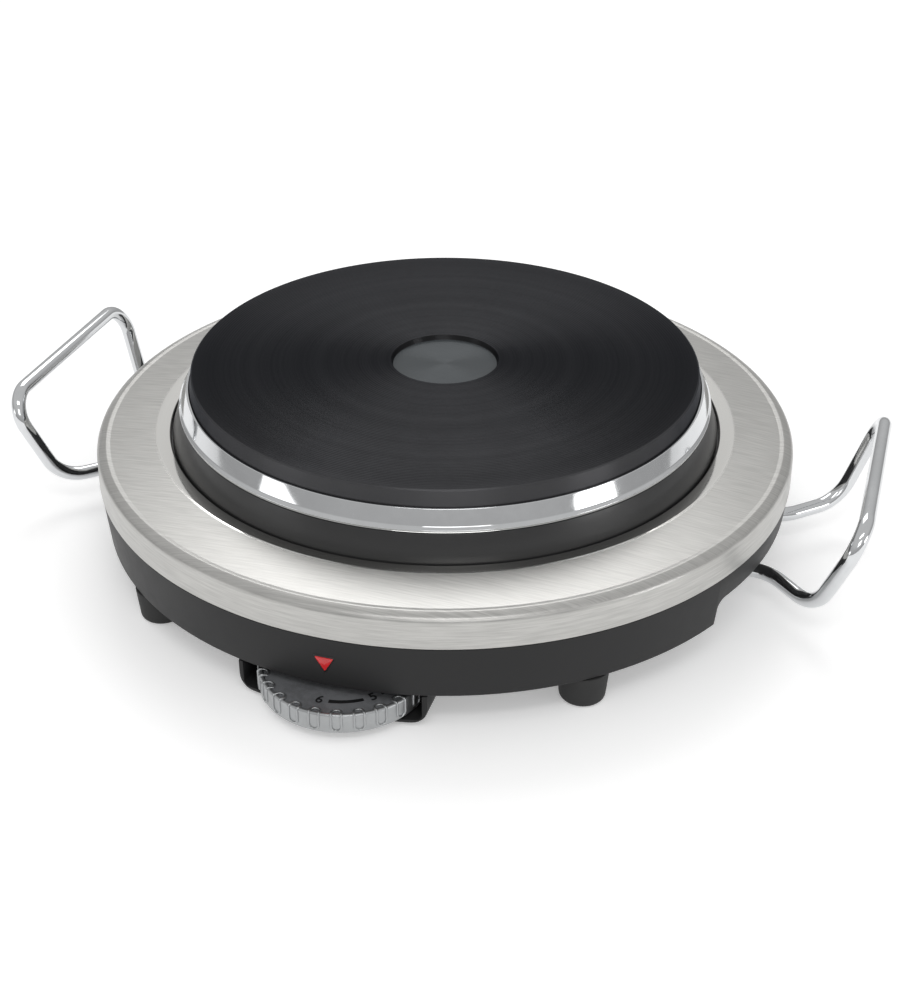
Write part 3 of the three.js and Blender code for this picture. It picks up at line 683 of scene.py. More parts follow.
def material_lens():
    """Clear red plastic with a faint painted glow."""
    material, tree, inputs = new_material(
        "Red lens", bpy.context.scene.hot_plate_colours.lens, 0.16,
        Transmission_Weight=0.25, IOR=1.49, Coat_Weight=0.6, Coat_Roughness=0.06,
        # Painted glow: a faint red emission, though the lamp behind the lens gives no light.
        Emission_Strength=0.12, Emission_Color=(0.9, 0.03, 0.03, 1),
    )
    mask = add_smudges(tree, inputs, 0.04, 220)
    tint(tree, inputs, mask, 0.85, 1.1)
    return material


def material_rubber():
    """Matt black rubber."""
    material, tree, inputs = new_material("Black rubber", (0.018, 0.018, 0.018), 0.72)
    mask = add_smudges(tree, inputs, 0.1, 60)
    add_grain(tree, inputs, 1600, 0.02)
    tint(tree, inputs, mask, 0.85, 1.25)
    return material


def material_plain(name, colour, roughness, metallic, grain_scale, depth, spread=0.1):
    """Finish of an inner piece: its own drift of tone, gloss and grain."""
    material, tree, inputs = new_material(name, colour, roughness, metallic)
    mask = add_smudges(tree, inputs, spread, 70)
    add_grain(tree, inputs, grain_scale, depth)
    tint(tree, inputs, mask, 0.85, 1.12)
    return material


MATERIALS = {}


def finish_of(name):
    """The material of that name, made when first asked for."""
    makers = {
        "plate": material_plate,
        "chrome": material_chrome,
        "enamel": material_enamel,
        "steel": material_steel,
        "body": material_body,
        "grip": material_grip,
        "face": material_face,
        "print": material_print,
        "lens": material_lens,
        "rubber": material_rubber,
        "zinc": lambda: material_plain("Zinc plate", (0.52, 0.53, 0.54), 0.36, 0.9, 1400, 0.006),
        "bright": lambda: material_plain("Bright aluminium", (0.7, 0.71, 0.72), 0.28, 0.95, 900, 0.01),
        "ceramic": lambda: material_plain("Ceramic", (0.74, 0.70, 0.62), 0.6, 0.0, 1200, 0.03),
        "brass": lambda: material_plain("Brass", (0.60, 0.43, 0.18), 0.3, 1.0, 1500, 0.005),
        "heater": lambda: material_plain("Heater tube", (0.17, 0.14, 0.12), 0.6, 0.6, 1300, 0.02),
        "phenolic": lambda: material_plain("Phenolic", (0.035, 0.03, 0.027), 0.5, 0.0, 1500, 0.02),
        "glass": lambda: material_plain("Lamp glass", (0.85, 0.80, 0.72), 0.12, 0.0, 800, 0.003, 0.04),
        "brown": lambda: material_plain("Brown sleeve", (0.15, 0.065, 0.03), 0.6, 0.0, 2400, 0.04),
        "red": lambda: material_plain("Red sleeve", (0.32, 0.03, 0.02), 0.6, 0.0, 2400, 0.04),
        "blue": lambda: material_plain("Blue sleeve", (0.03, 0.08, 0.28), 0.6, 0.0, 2400, 0.04),
        "green": lambda: material_plain("Green sleeve", (0.11, 0.26, 0.05), 0.6, 0.0, 2400, 0.04),
    }
    if name not in MATERIALS:
        MATERIALS[name] = makers[name]()
    return MATERIALS[name]


# ------------------------------------------------------------------ pieces
def steps():
    """Facets round each large turned piece."""
    return bpy.context.scene.hot_plate_sizes.round_steps


class HOTPLATE_OT_plate(bpy.types.Operator):
    """Cast-iron plate with its centre recess"""

    bl_idname = "hotplate.plate"
    bl_label = "Plate"

    def execute(self, context):
        side = PLATE_TOP - PLATE_SIDE
        under = low("hotplate").z
        rim_foot, hollow_top, boss_foot = 66.4, 72, 64.6
        points = outline([
            (0, RECESS_FLOOR, 0),
            (RECESS_R - 0.8, RECESS_FLOOR, 0.5),
            (RECESS_R, PLATE_TOP, 0.3),
            (PLATE_R - 1.7, PLATE_TOP, 0.25),
            (PLATE_R - 1.0, PLATE_TOP - 0.55, 0.25),
            (PLATE_R, side, 0.4),
            (PLATE_R - 0.3, rim_foot, 0.3),
            (104, rim_foot, 0.3),
            (104, hollow_top, 0),
            (36, hollow_top, 0),
            (36, boss_foot, 0.3),
            (14, boss_foot, 0),
            (14, under, 0.3),
            (4.3, under, 0),
            (4.3, hollow_top, 0),
            (0, hollow_top, 0),
        ], closed=False)
        bm = spun(points, steps(), closed=False)
        piece = new_piece("cast_iron_plate", bm, finish_of("plate"))
        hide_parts("hotplate")
        return {"FINISHED"}


class HOTPLATE_OT_trim_ring(bpy.types.Operator):
    """Polished spill ring round the plate and the black collar under it"""

    bl_idname = "hotplate.trim_ring"
    bl_label = "Trim Ring and Collar"

    def execute(self, context):
        top = high("spill_ring").z
        ring = outline([
            (PLATE_R + 0.3, top, 0.2),
            (PLATE_R + 1.3, top, 0.35),
            (PLATE_R + 3.9, RING_FOOT + 2.2, 1.6),
            (RING_R, RING_FOOT + 1.1, 0.45),
            (RING_R - 0.1, RING_FOOT, 0.3),
            (105.5, RING_FOOT, 0),
            (105.5, RING_FOOT + 0.6, 0),
            (112.9, RING_FOOT + 0.6, 0),
            (112.9, RING_FOOT + 1.8, 0),
            (PLATE_R + 0.3, top - 0.9, 0),
        ])
        piece = new_piece("trim_ring", spun(ring, steps()), finish_of("chrome"))
        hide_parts("spill_ring")
        collar = outline([
            (106, COLLAR_TOP, 0),
            (COLLAR_TOP_R - 0.1, COLLAR_TOP, 0.3),
            (COLLAR_R, 53.6, 0),
            (COLLAR_R, 51, 0),
            (125, 51, 0.2),
            (125, 50, 0.2),
            (COLLAR_R - 1.1, 50, 0),
            (COLLAR_R - 1.1, 53.4, 0),
            (COLLAR_TOP_R - 1.1, COLLAR_TOP - 1, 0),
            (106, COLLAR_TOP - 1, 0),
        ])
        piece = new_piece("plate_collar", spun(collar, steps()), finish_of("enamel"))
        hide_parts("support_collar")
        return {"FINISHED"}


class HOTPLATE_OT_cover(bpy.types.Operator):
    """Brushed steel cover with its polished lip and rolled edge"""

    bl_idname = "hotplate.cover"
    bl_label = "Steel Cover"

    def execute(self, context):
        lip = COLLAR_R + 0.6
        sheet = 0.9
        points = outline([
            (lip, 51.6, 0),
            (lip, CREST_Z - 0.7, 0.9),
            (CREST_R - 1, CREST_Z, 1.2),
            (COVER_R - 6.2, CREST_Z - 2.2, 1.0),
            (COVER_R - 4.4, CREST_Z - 1.95, 1.2),
            (COVER_R - 0.35, CREST_Z - 3.5, 2.9),
            (COVER_R, COVER_FOOT, 0.25),
            (COVER_R - sheet, COVER_FOOT, 0.2),
            (COVER_R - 1.2, CREST_Z - 5.6, 1.5),
            (COVER_R - 4.8, CREST_Z - 3.3, 1.0),
            (CREST_R, CREST_Z - sheet - 0.2, 0),
            (lip + sheet, CREST_Z - 1.9, 0.3),
            (lip + sheet, 51.6, 0),
        ])
        piece = new_piece("steel_cover", spun(points, steps()), finish_of("steel"))
        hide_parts("top_cover")
        return {"FINISHED"}


def lens_prism(bm, grow, front, back):
    """Adds the lens's triangle, point down, run along Y."""
    centre = middle("pilot_lens")
    half = (high("pilot_lens").x - low("pilot_lens").x) / 2 + grow
    rise = (high("pilot_lens").z - low("pilot_lens").z) / 2 + grow
    corners = [(-half, rise), (half, rise), (0, -rise - 0.5 * grow)]
    verts = [bm.verts.new(Vector((x, front, centre.z + z)) * MM) for x, z in corners]
    face = bm.faces.new(verts)
    made = bmesh.ops.extrude_face_region(bm, geom=[face])["geom"]
    moved = [g for g in made if isinstance(g, bmesh.types.BMVert)]
    bmesh.ops.translate(bm, vec=(0, (back - front) * MM, 0), verts=moved)
    bmesh.ops.recalc_face_normals(bm, faces=bm.faces)
    run = [e for e in bm.edges if abs((e.verts[0].co - e.verts[1].co).normalized().y) > 0.9]
    bmesh.ops.bevel(
        bm, geom=run, offset=(0.7 + grow * 0.5) * MM, segments=5, profile=0.5, affect="EDGES",
        material=-1,
    )


class HOTPLATE_OT_base(bpy.types.Operator):
    """Black base with its side arches, vents and holes"""

    bl_idname = "hotplate.base"
    bl_label = "Base"

    def execute(self, context):
        spigot = high("base_housing").z
        points = outline([
            (0, FLOOR_Z, 0),
            (WALL_R - 0.5, FLOOR_Z, 0),
            (WALL_R - 0.5, BASE_BOTTOM, 0.35),
            (BASE_FOOT_R, BASE_BOTTOM, 0.8),
            (BASE_R, BASE_JOINT, 0.3),
            (BASE_R - 1.3, BASE_JOINT, 0),
            (BASE_R - 1.5, spigot, 0.3),
            (WALL_R + 0.2, spigot, 0.3),
            (WALL_R, FLOOR_Z + FLOOR_T, 0),
            (0, FLOOR_Z + FLOOR_T, 0),
        ], closed=False)
        piece = new_piece("base_body", spun(points, steps(), closed=False), finish_of("body"))
        for side in (-1, 1):
            pocket = spun(outline([
                (0, FLOOR_Z + 0.5, 0), (WALL_R + 1, FLOOR_Z + 0.5, 0), (WALL_R + 1, ARCH_TOP + 2, 0),
                (0, ARCH_TOP + 2, 0),
            ], closed=False), steps(), closed=False)
            for sign, axis in ((-1, 1), (1, 1), (-side, 0)):
                depth = ARCH_BACK - 2 if axis == 0 else ARCH_HALF + 2
                normal = Vector((0, 0, 0))
                normal[axis] = sign
                place = normal * depth * MM if axis == 1 else Vector((side * depth * MM, 0, 0))
                geometry = bm_all(pocket)
                cut = bmesh.ops.bisect_plane(
                    pocket, geom=geometry, plane_co=place, plane_no=normal, clear_outer=True)
                rim = [g for g in cut["geom_cut"] if isinstance(g, bmesh.types.BMEdge)]
                bmesh.ops.holes_fill(pocket, edges=rim, sides=0)
            bmesh.ops.recalc_face_normals(pocket, faces=pocket.faces)
            carve(piece, pocket, "UNION")
        tools = bmesh.new()
        for side in (-1, 1):
            near, far = sorted((side * ARCH_BACK, side * 156))
            block(tools, (near, -ARCH_HALF, 8), (far, ARCH_HALF, ARCH_TOP), fillet=4, along=0)
        self.add_vents(tools)
        self.add_holes(tools)
        carve(piece, tools)
        soften(piece, 0.3)
        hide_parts("base_housing")
        return {"FINISHED"}

    def add_vents(self, bm):
        """Radial slots in the floor."""
        count = 18
        for i in range(count):
            turn = Matrix.Rotation((i + 0.5) * 2 * math.pi / count, 4, "Z")
            block(bm, (56, -2, FLOOR_Z - 2), (94, 2, FLOOR_Z + FLOOR_T + 2), turn,
                  fillet=1.95, along=2, segments=5)

    def add_holes(self, bm):
        """Holes for the shaft, the screws and the cord gland."""
        below, above = FLOOR_Z - 2, FLOOR_Z + FLOOR_T + 2
        drum(bm, 5.2, below, above, DIAL.x, DIAL.y)
        screws = [f"foot_screw_{foot}" for foot in FEET] + [
            f"clamp_screw_{side}_{end}" for side in ("left", "right") for end in ("front", "rear")
        ] + ["shroud_screw_left", "shroud_screw_right"]
        for screw in screws:
            place = middle(screw)
            drum(bm, SCREW_HOLE_R, below, above, place.x, place.y, segments=20)
        lying = Matrix.Translation(Vector((0, 0, GLAND_Z)) * MM) @ Matrix.Rotation(math.pi / 2, 4, "X")
        drum(bm, 6.3, -156, -140, segments=40, matrix=lying)


def bm_all(bm):
    """All of a bmesh's geometry, as one list."""
    return bm.verts[:] + bm.edges[:] + bm.faces[:]


class HOTPLATE_OT_shroud(bpy.types.Operator):
    """Black shroud that the dial turns in"""

    bl_idname = "hotplate.shroud"
    bl_label = "Dial Shroud"

    def execute(self, context):
        wall, floor, lug = 2.0, 1.4, 6
        top = high("knob_shroud").z
        piece = new_piece("dial_shroud", self.room(SHROUD_HALF, SHROUD_LOW, top, 6.0),
                          finish_of("body"))
        lugs = bmesh.new()
        for side in ("left", "right"):
            screw = middle(f"shroud_screw_{side}")
            inner = math.copysign(SHROUD_HALF - wall - lug, screw.x)
            near, far = sorted((inner, screw.x + math.copysign(lug, screw.x)))
            block(lugs, (near, screw.y - lug, top - 2), (far, screw.y + lug, top), fillet=2, along=2)
        carve(piece, lugs, "UNION")
        tools = self.room(SHROUD_HALF - wall, SHROUD_LOW + floor, top + 12, 2.0)
        for side in ("left", "right"):
            screw = middle(f"shroud_screw_{side}")
            drum(tools, SCREW_HOLE_R, top - 8, top + 4, screw.x, screw.y, segments=20)
        carve(piece, tools)
        under = BASE_BOTTOM - GAP
        beyond = spun(outline([
            (BASE_FOOT_R, -2, 0), (190, -2, 0), (190, 32, 0), (WALL_R - 0.9, 32, 0),
            (WALL_R - 0.9, under, 0), (BASE_FOOT_R, under, 0),
        ]), steps())
        carve(piece, beyond)
        soften(piece, 0.35)
        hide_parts("knob_shroud")
        return {"FINISHED"}

    def room(self, half, bottom, top, fillet):
        """Horseshoe-shaped block about the dial axis, open to the front, its lower edge rounded."""
        bm = bmesh.new()
        back = outline([(0, bottom, 0), (half, bottom, fillet), (half, top, 0), (0, top, 0)],
                       closed=False)
        verts = [bm.verts.new(Vector((p.x + DIAL.x, DIAL.y, p.y)) * MM) for p in back]
        edges = [bm.edges.new(pair) for pair in zip(verts, verts[1:])]
        bmesh.ops.spin(bm, geom=verts + edges, cent=DIAL * MM, axis=Z_AXIS, angle=math.pi, steps=72)
        bmesh.ops.remove_doubles(bm, verts=bm.verts, dist=1e-6)
        rim = [e for e in bm.edges if e.is_boundary]
        front = bmesh.ops.extrude_edge_only(bm, edges=rim)["geom"]
        moved = [g for g in front if isinstance(g, bmesh.types.BMVert)]
        bmesh.ops.translate(bm, vec=(0, -30 * MM, 0), verts=moved)
        bmesh.ops.remove_doubles(bm, verts=bm.verts, dist=1e-6)
        bmesh.ops.holes_fill(bm, edges=[e for e in bm.edges if e.is_boundary], sides=0)
        bmesh.ops.recalc_face_normals(bm, faces=bm.faces)
        return bm


class HOTPLATE_OT_dial(bpy.types.Operator):
    """Dial: silver grip ring with its raised loops, grey face, figures and wedge bars"""

    bl_idname = "hotplate.dial"
    bl_label = "Dial"

    def execute(self, context):
        self.add_grip(context.scene.hot_plate_sizes)
        self.add_face()
        self.add_figures(context.scene.hot_plate_sizes)
        return {"FINISHED"}

    def add_grip(self, sizes):
        inner = FACE_R + 0.35
        crown = DIAL_TOP - 0.1
        ring = outline([
            (inner, crown, 0.2),
            (DIAL_WALL_R, crown, 1.0),
            (DIAL_WALL_R, DIAL_LOW, 0.6),
            (inner, DIAL_LOW, 0.2),
        ])
        piece = new_piece("dial_grip", spun(ring, steps(), DIAL), finish_of("grip"), "dial")
        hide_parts("knob_grip_ring")
        beads = bmesh.new()
        for i in range(sizes.beads):
            self.add_bead(beads, i * 2 * math.pi / sizes.beads, crown, sizes.bead_radius / MM)
        new_piece("dial_beads", beads, finish_of("grip"), "dial", sharp=60)

    def add_bead(self, bm, turn, crown, thick):
        """Adds one raised loop: a stretched ring of wire, laid over the dial's wall and top edge."""
        half = 2.0
        bend = 1.0
        foot = DIAL_LOW + 1.1 + half
        upright = crown - bend - foot
        across = bend * math.pi / 2
        length = upright + across + DIAL_WALL_R - bend - FACE_R
        loop = bmesh.new()
        made = bmesh.ops.create_circle(
            loop, segments=10, radius=thick,
            matrix=Matrix.Translation((half, 0, 0)) @ Matrix.Rotation(math.pi / 2, 4, "X"))["verts"]
        edges = list({e for v in made for e in v.link_edges})
        bmesh.ops.spin(loop, geom=made + edges, cent=(0, 0, 0), axis=Z_AXIS, angle=2 * math.pi,
                       steps=24, use_merge=True, use_duplicate=False)
        bmesh.ops.remove_doubles(loop, verts=loop.verts, dist=1e-4)
        upper = [v for v in loop.verts if v.co.y > 1e-3]
        bmesh.ops.translate(loop, vec=(0, length, 0), verts=upper)
        bends = [upright + across * k / 6 for k in range(7)]
        for cut in [1e-2, *bends]:
            bmesh.ops.bisect_plane(
                loop, geom=bm_all(loop), plane_co=(0, cut, 0), plane_no=(0, 1, 0))
        bmesh.ops.recalc_face_normals(loop, faces=loop.faces)
        for vert in loop.verts:
            aside, along, proud = vert.co
            if along < upright:
                radius, height, lean = DIAL_WALL_R + proud, foot + along, 0.0
            elif along < upright + across:
                lean = (along - upright) / bend
                radius = DIAL_WALL_R - bend + (bend + proud) * math.cos(lean)
                height = crown - bend + (bend + proud) * math.sin(lean)
            else:
                inward = along - upright - across
                radius = DIAL_WALL_R - bend - inward
                height = crown + proud - 0.22 * inward
            vert.co = Vector((aside, -radius, height)) * MM
        bmesh.ops.transform(
            loop, matrix=Matrix.Translation(DIAL * MM) @ Matrix.Rotation(turn, 4, "Z"),
            verts=loop.verts)
        mesh = bpy.data.meshes.new("bead")
        loop.to_mesh(mesh)
        loop.free()
        bm.from_mesh(mesh)
        bpy.data.meshes.remove(mesh)

    def add_face(self):
        bore = 3.3
        hub = 7.0
        under = low("knob_body").z
        hub_top = high("knob_body").z
        rim = FACE_R - 2.4
        face = outline([
            (bore, under, 0),
            (hub, under, 0.3),
            (hub, FACE_Z - 1.8, 0.4),
            (rim, FACE_Z - 1.8, 0.4),
            (rim, under, 0.3),
            (FACE_R, under, 0.3),
            (FACE_R, FACE_Z, 0.35),
            (hub + 1.2, FACE_Z, 0.6),
            (hub, hub_top, 0.3),
            (bore, hub_top, 0.2),
        ])
        piece = new_piece("dial_face", spun(face, steps(), DIAL), finish_of("face"), "dial")
        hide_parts("knob_body")

    def add_figures(self, sizes):
        hottest = 6
        offset = math.radians(-2.4)
        ring = 24.3 * MM
        for figure in range(hottest + 1):
            angle = -math.pi / 2 + offset + (hottest - figure) * sizes.figure_step
            self.add_figure(str(figure), angle, ring, sizes.figure_height)
            if figure > 1:
                thick = 1.9 - 0.26 * (hottest - figure)
                self.add_bar(figure, angle, ring, sizes.figure_step, thick)

    def add_figure(self, text, angle, ring, height):
        curve = bpy.data.curves.new("figure_" + text, "FONT")
        curve.body = text
        curve.align_x = "CENTER"
        curve.align_y = "CENTER"
        curve.size = height / 0.7
        curve.extrude = 0.04 * MM
        curve.offset = 0.1 * MM
        shape = bpy.data.objects.new("figure_shape", curve)
        bpy.context.scene.collection.objects.link(shape)
        graph = bpy.context.evaluated_depsgraph_get()
        mesh = bpy.data.meshes.new_from_object(shape.evaluated_get(graph))
        bpy.data.objects.remove(shape)
        bpy.data.curves.remove(curve)
        bm = bmesh.new()
        bm.from_mesh(mesh)
        bpy.data.meshes.remove(mesh)
        place = DIAL * MM + Vector((ring * math.cos(angle), ring * math.sin(angle), (FACE_Z + 0.03) * MM))
        turn = Matrix.Rotation(angle + math.pi / 2, 4, "Z")
        bmesh.ops.remove_doubles(bm, verts=bm.verts, dist=1e-7)
        bmesh.ops.transform(bm, matrix=Matrix.Translation(place) @ turn, verts=bm.verts)
        new_piece("dial_figure_" + text, bm, finish_of("print"), "dial")

    def add_bar(self, figure, angle, ring, step, thick):
        """Wedge bar between a figure and the next lower one."""
        bm = bmesh.new()
        bmesh.ops.create_grid(bm, x_segments=18, y_segments=1, size=0.5)
        start = angle + 0.175 * step
        sweep = 0.64 * step
        for vert in bm.verts:
            along = vert.co.x + 0.5
            half = (thick - 0.26 * along) * MM / 2
            at = start + sweep * along
            radius = ring + (half if vert.co.y > 0 else -half)
            vert.co = DIAL * MM + Vector((
                radius * math.cos(at), radius * math.sin(at), (FACE_Z - 0.01) * MM))
        made = bmesh.ops.extrude_face_region(bm, geom=bm.faces[:])["geom"]
        lifted = [g for g in made if isinstance(g, bmesh.types.BMVert)]
        bmesh.ops.translate(bm, vec=(0, 0, 0.08 * MM), verts=lifted)
        bmesh.ops.recalc_face_normals(bm, faces=bm.faces)
        new_piece(f"dial_bar_{figure}", bm, finish_of("print"), "dial")


class HOTPLATE_OT_lens(bpy.types.Operator):
    """Red triangular pilot lens"""

    bl_idname = "hotplate.lens"
    # Red triangular pilot lens, with a thin dark sheet round it as a painted shadow
    bl_label = "Pilot Lens"

    def execute(self, context):
        piece = self.add_prism("pilot_lens_red", "lens", 0.0, 0.5)
        soften(piece, 0.3, 3)
        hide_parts("pilot_lens")
        # Painted shadow: a thin dark sheet in the print finish round the lens stands in for the shade at
        # its edge.
        self.add_prism("pilot_lens_shadow_rim", "print", 0.8, 0.15)
        return {"FINISHED"}

    def add_prism(self, name, finish, grow, proud):
        """Adds the lens's triangle, cut to stand proud of the curved wall all over."""
        bm = bmesh.new()
        lens_prism(bm, grow, -151.8, -146.8)
        piece = new_piece(name, bm, finish_of(finish))
        slope = (BASE_R - BASE_FOOT_R) / (BASE_JOINT - BASE_BOTTOM)
        foot, rim = 15, 36
        front = spun(outline([
            (0, foot, 0),
            (BASE_FOOT_R + slope * (foot - BASE_BOTTOM) + proud, foot, 0),
            (BASE_FOOT_R + slope * (rim - BASE_BOTTOM) + proud, rim, 0),
            (0, rim, 0),
        ], closed=False), 360, closed=False)
        carve(piece, front, "INTERSECT")
        return piece


class HOTPLATE_OT_handles(bpy.types.Operator):
    """Two bent wire handles"""

    bl_idname = "hotplate.handles"
    bl_label = "Wire Handles"

    def execute(self, context):
        inner = low("handle_right").x
        half = [
            Vector((inner, LEG_Y, LEG_Z)),
            Vector((149, LEG_Y, LEG_Z)),
            Vector((170.5, 43.5, LEG_Z)),
            Vector((GRIP_X, GRIP_Y, GRIP_Z)),
        ]
        corners = half + [Vector((p.x, -p.y, p.z)) for p in reversed(half)]
        bends = [18, 17, 12, 12, 17, 18]
        for name, side in (("left", -1), ("right", 1)):
            bm = bent_wire(corners, bends, WIRE_R)
            turn = Matrix.Rotation(0 if side > 0 else math.pi, 4, "Z")
            bmesh.ops.transform(bm, matrix=turn, verts=bm.verts)
            piece = new_piece(f"wire_handle_{name}", bm, finish_of("chrome"))
            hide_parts(f"handle_{name}")
        return {"FINISHED"}


class HOTPLATE_OT_feet(bpy.types.Operator):
    """Four moulded rubber feet"""

    bl_idname = "hotplate.feet"
    bl_label = "Feet"

    def execute(self, context):
        for foot in FEET:
            place = middle(f"foot_{foot}")
            place.z = 0
            top = BASE_BOTTOM - GAP
            points = outline([
                (4.3, 0, 0.3),
                (9.0, 0, 2.2),
                (10.3, top, 0.4),
                (7, top, 0),
                (7, high(f"foot_{foot}").z, 0),
                (2, high(f"foot_{foot}").z, 0),
                (2, 5.6, 0),
                (4.3, 5.6, 0),
            ])
            piece = new_piece(f"rubber_foot_{foot}", spun(points, 72, place), finish_of("rubber"))
            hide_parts(f"foot_{foot}")
        return {"FINISHED"}


class HOTPLATE_OT_gland(bpy.types.Operator):
    """Ribbed rubber gland for the mains cord"""

    bl_idname = "hotplate.gland"
    bl_label = "Cord Gland"

    def execute(self, context):
        inner = low("cord_gland").y
        corners = [(3.7, inner, 0.2), (7, inner, 0.3), (7, 146.8, 0.3), (6, 146.8, 0), (6, 151.5, 0),
                   (9, 151.5, 0.4), (9, 154, 0.7)]
        nose, ribs = 154.4, 3
        length = GLAND_TIP - nose
        for rib in range(ribs):
            wide = 7.6 - 1.6 * rib / ribs
            begin = nose + length * rib / ribs
            corners += [(wide, begin, 0.3), (wide - 0.3, begin + length / ribs - 1.3, 0.35),
                        (wide - 1.4, begin + length / ribs - 1.1, 0.2),
                        (wide - 1.4, begin + length / ribs - 0.3, 0.2)]
        corners[-1] = (corners[-2][0], GLAND_TIP, 0.3)
        corners.append((3.7, GLAND_TIP, 0.3))
        bm = spun(outline(corners), 64)
        lay = Matrix.Translation(Vector((0, 0, GLAND_Z)) * MM) @ Matrix.Rotation(-math.pi / 2, 4, "X")
        bmesh.ops.transform(bm, matrix=lay, verts=bm.verts)
        piece = new_piece("ribbed_gland", bm, finish_of("rubber"))
        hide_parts("cord_gland")
        return {"FINISHED"}


class HOTPLATE_OT_fixings(bpy.types.Operator):
    """Cross-headed screws under the base"""

    bl_idname = "hotplate.fixings"
    bl_label = "Screws"

    def execute(self, context):
        names = [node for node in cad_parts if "screw" in node]
        for node in sorted(names):
            self.add_screw(node)
        return {"FINISHED"}

    def add_screw(self, node):
        place = middle(node)
        place.z = 0
        head = (high(node).x - low(node).x) / 2
        bottom, top = low(node).z, high(node).z
        seat = bottom + (2.6 if head > 3.5 else 2.2)
        shank, pitch = 1.6, 1.2
        thread = [(shank, seat, 0)]
        turns = int((top - seat - 2) / pitch)
        for turn in range(turns):
            z = seat + 1 + turn * pitch
            thread += [(shank - 0.3, z, 0), (shank, z + pitch / 2, 0)]
        points = outline([
            (0, bottom + 0.25, 0), (head * 0.55, bottom, 0.3), (head, seat - 0.9, 0.5), (head, seat, 0.1),
            *thread, (shank - 0.3, top - 0.8, 0), (0, top, 0),
        ], closed=False)
        piece = new_piece("cross_" + node, spun(points, 32, place, closed=False), finish_of("zinc"))
        cross = bmesh.new()
        for quarter in (0, 1):
            angle = math.pi / 4 + quarter * math.pi / 2
            turn = Matrix.Translation(place * MM) @ Matrix.Rotation(angle, 4, "Z")
            arm = bmesh.new()
            block(arm, (-head * 0.5, -0.42, bottom - 1), (head * 0.5, 0.42, bottom + 1.3), turn)
            if quarter == 0:
                cross.free()
                cross = arm
            else:
                carve(piece, cross)
                carve(piece, arm)
        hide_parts(node)


INNER_FINISHES = {
    "zinc": ("element_cover", "plate_stud", "support_bridge", "bridge_washer", "bridge_nut",
             "regulator_shaft", "regulator_cover", "handle_clamp_left", "handle_clamp_right",
             "cover_post_front_right", "cover_post_rear_right", "cover_post_rear_left",
             "cover_post_front_left"),
    "bright": ("heat_reflector",),
    "ceramic": ("insulation_disc", "terminal_block", "lamp_holder", "mains_terminal"),
    "brass": ("regulator_nut", "regulator_follower", "regulator_contact", "regulator_terminal_1",
              "regulator_terminal_2"),
    "heater": ("heater_outer", "heater_inner"),
    "phenolic": ("overheat_limiter", "regulator_body", "cord_clamp"),
    "face": ("regulator_cam",),
    "glass": ("pilot_lamp",),
    "brown": ("lead_live",),
    "red": ("lead_switched",),
    "blue": ("lead_neutral",),
    "green": ("lead_earth",),
}


class HOTPLATE_OT_inner_pieces(bpy.types.Operator):
    """Finishes of the pieces inside and underneath"""

    bl_idname = "hotplate.inner_pieces"
    bl_label = "Inner Pieces"

    def execute(self, context):
        for finish, nodes in INNER_FINISHES.items():
            for node in nodes:
                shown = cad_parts[node]
                shown.data.materials.clear()
                shown.data.materials.append(finish_of(finish))
        return {"FINISHED"}


# ------------------------------------------------------------------ stage
def add_area(name, place, target, size, power):
    """Soft rectangular light aimed at a point."""
    light = bpy.data.lights.new(name, "AREA")
    light.shape = "RECTANGLE"
    light.size, light.size_y = size
    light.energy = power
    lamp = bpy.data.objects.new(name, light)
    lamp.location = place
    lamp.rotation_euler = (Vector(target) - Vector(place)).to_track_quat("-Z", "Y").to_euler()
    bpy.context.scene.collection.objects.link(lamp)


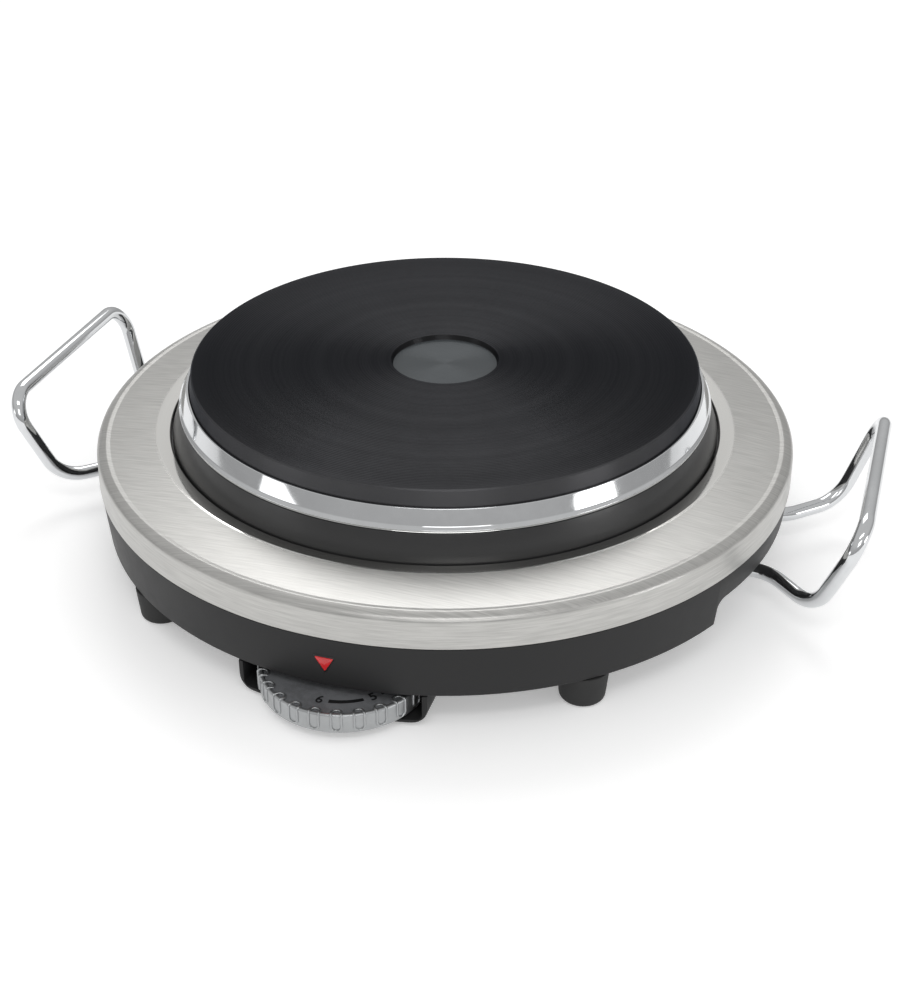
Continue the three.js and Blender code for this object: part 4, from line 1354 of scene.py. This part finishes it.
class HOTPLATE_OT_stage(bpy.types.Operator):
    """Pale floor, studio lights and camera"""

    bl_idname = "hotplate.stage"
    bl_label = "Stage"

    def execute(self, context):
        self.add_floor()
        self.add_world(context.scene)
        self.add_lights()
        self.add_camera(context.scene)
        return {"FINISHED"}

    def add_floor(self):
        bm = bmesh.new()
        bmesh.ops.create_grid(bm, x_segments=1, y_segments=1, size=6)
        mesh = bpy.data.meshes.new("floor")
        bm.to_mesh(mesh)
        bm.free()
        floor = bpy.data.objects.new("floor", mesh)
        bpy.context.scene.collection.objects.link(floor)
        material, _tree, _inputs = new_material(
            "Pale floor", (0.93, 0.93, 0.93), 0.6, Specular_IOR_Level=0.2,
            Emission_Color=(1, 1, 1, 1), Emission_Strength=0.3,
        )
        floor.data.materials.append(material)

    def add_world(self, scene):
        world = bpy.data.worlds.new("Studio")
        world.use_nodes = True
        tree = Tree(world.node_tree)
        height = tree.add("ShaderNodeSeparateXYZ", (
            tree.add("ShaderNodeTexCoord").outputs["Generated"],)).outputs[2]
        low_sky = tree.spread(height, 0.0, 0.6, 0.42, 0.65)
        seen = tree.add("ShaderNodeLightPath").outputs["Is Camera Ray"]
        strength = tree.add("ShaderNodeMix", (seen, None, low_sky, 0.96), data_type="FLOAT")
        background = world.node_tree.nodes["Background"]
        background.inputs["Color"].default_value = (1, 1, 1, 1)
        world.node_tree.links.new(strength.outputs[0], background.inputs["Strength"])
        scene.world = world
        scene.view_settings.view_transform = "Standard"

    def add_lights(self):
        centre = (0, 0, 0.05)
        add_area("Top softbox", (-0.30, 0.85, 1.15), centre, (0.8, 0.7), 4.6)
        add_area("Left strip", (-1.15, -1.0, 0.22), centre, (0.5, 0.22), 0.6)
        add_area("Right strip", (1.6, -0.35, 0.3), centre, (0.5, 0.25), 2.0)
        add_area("Front fill", (0.7, -1.7, 1.1), centre, (0.9, 0.6), 3)
        add_area("Front top light", (0.3, -0.95, 1.6), centre, (1.0, 0.3), 3.5)

    def add_camera(self, scene):
        azimuth = math.radians(17.5)
        pitch = math.radians(31.82)
        distance, height = 0.6293, 0.39955
        camera = bpy.data.cameras.new("Camera")
        camera.sensor_width = 36
        camera.lens = 58.66
        camera.shift_x = 0.017
        camera.clip_start = 0.01
        viewer = bpy.data.objects.new("Camera", camera)
        viewer.location = (distance * math.sin(azimuth), -distance * math.cos(azimuth), height)
        viewer.rotation_euler = (math.pi / 2 - pitch, 0, azimuth)
        scene.collection.objects.link(viewer)
        scene.camera = viewer


# ------------------------------------------------------------------ add-on
OPERATORS = (
    HOTPLATE_OT_stage,
    HOTPLATE_OT_plate,
    HOTPLATE_OT_trim_ring,
    HOTPLATE_OT_cover,
    HOTPLATE_OT_base,
    HOTPLATE_OT_shroud,
    HOTPLATE_OT_dial,
    HOTPLATE_OT_lens,
    HOTPLATE_OT_handles,
    HOTPLATE_OT_feet,
    HOTPLATE_OT_gland,
    HOTPLATE_OT_fixings,
    HOTPLATE_OT_inner_pieces,
)


class HOTPLATE_PT_panel(bpy.types.Panel):
    """Lists the pieces and their settings"""

    bl_idname = "HOTPLATE_PT_panel"
    bl_label = "Single Hot Plate"
    bl_space_type = "VIEW_3D"
    bl_region_type = "UI"
    bl_category = "Hot Plate"

    def draw(self, context):
        layout = self.layout
        for settings in (context.scene.hot_plate_sizes, context.scene.hot_plate_colours):
            for name in settings.__annotations__:
                layout.prop(settings, name)
        for operator in OPERATORS:
            layout.operator(operator.bl_idname)


CLASSES = (HotPlateSizes, HotPlateColours, *OPERATORS, HOTPLATE_PT_panel)


def register():
    for item in CLASSES:
        bpy.utils.register_class(item)
    bpy.types.Scene.hot_plate_sizes = PointerProperty(type=HotPlateSizes)
    bpy.types.Scene.hot_plate_colours = PointerProperty(type=HotPlateColours)


def unregister():
    del bpy.types.Scene.hot_plate_colours
    del bpy.types.Scene.hot_plate_sizes
    for item in reversed(CLASSES):
        bpy.utils.unregister_class(item)


def main():
    register()
    for operator in OPERATORS:
        group_name, call = operator.bl_idname.split(".")
        getattr(getattr(bpy.ops, group_name), call)()


if __name__ == "__main__":
    main()
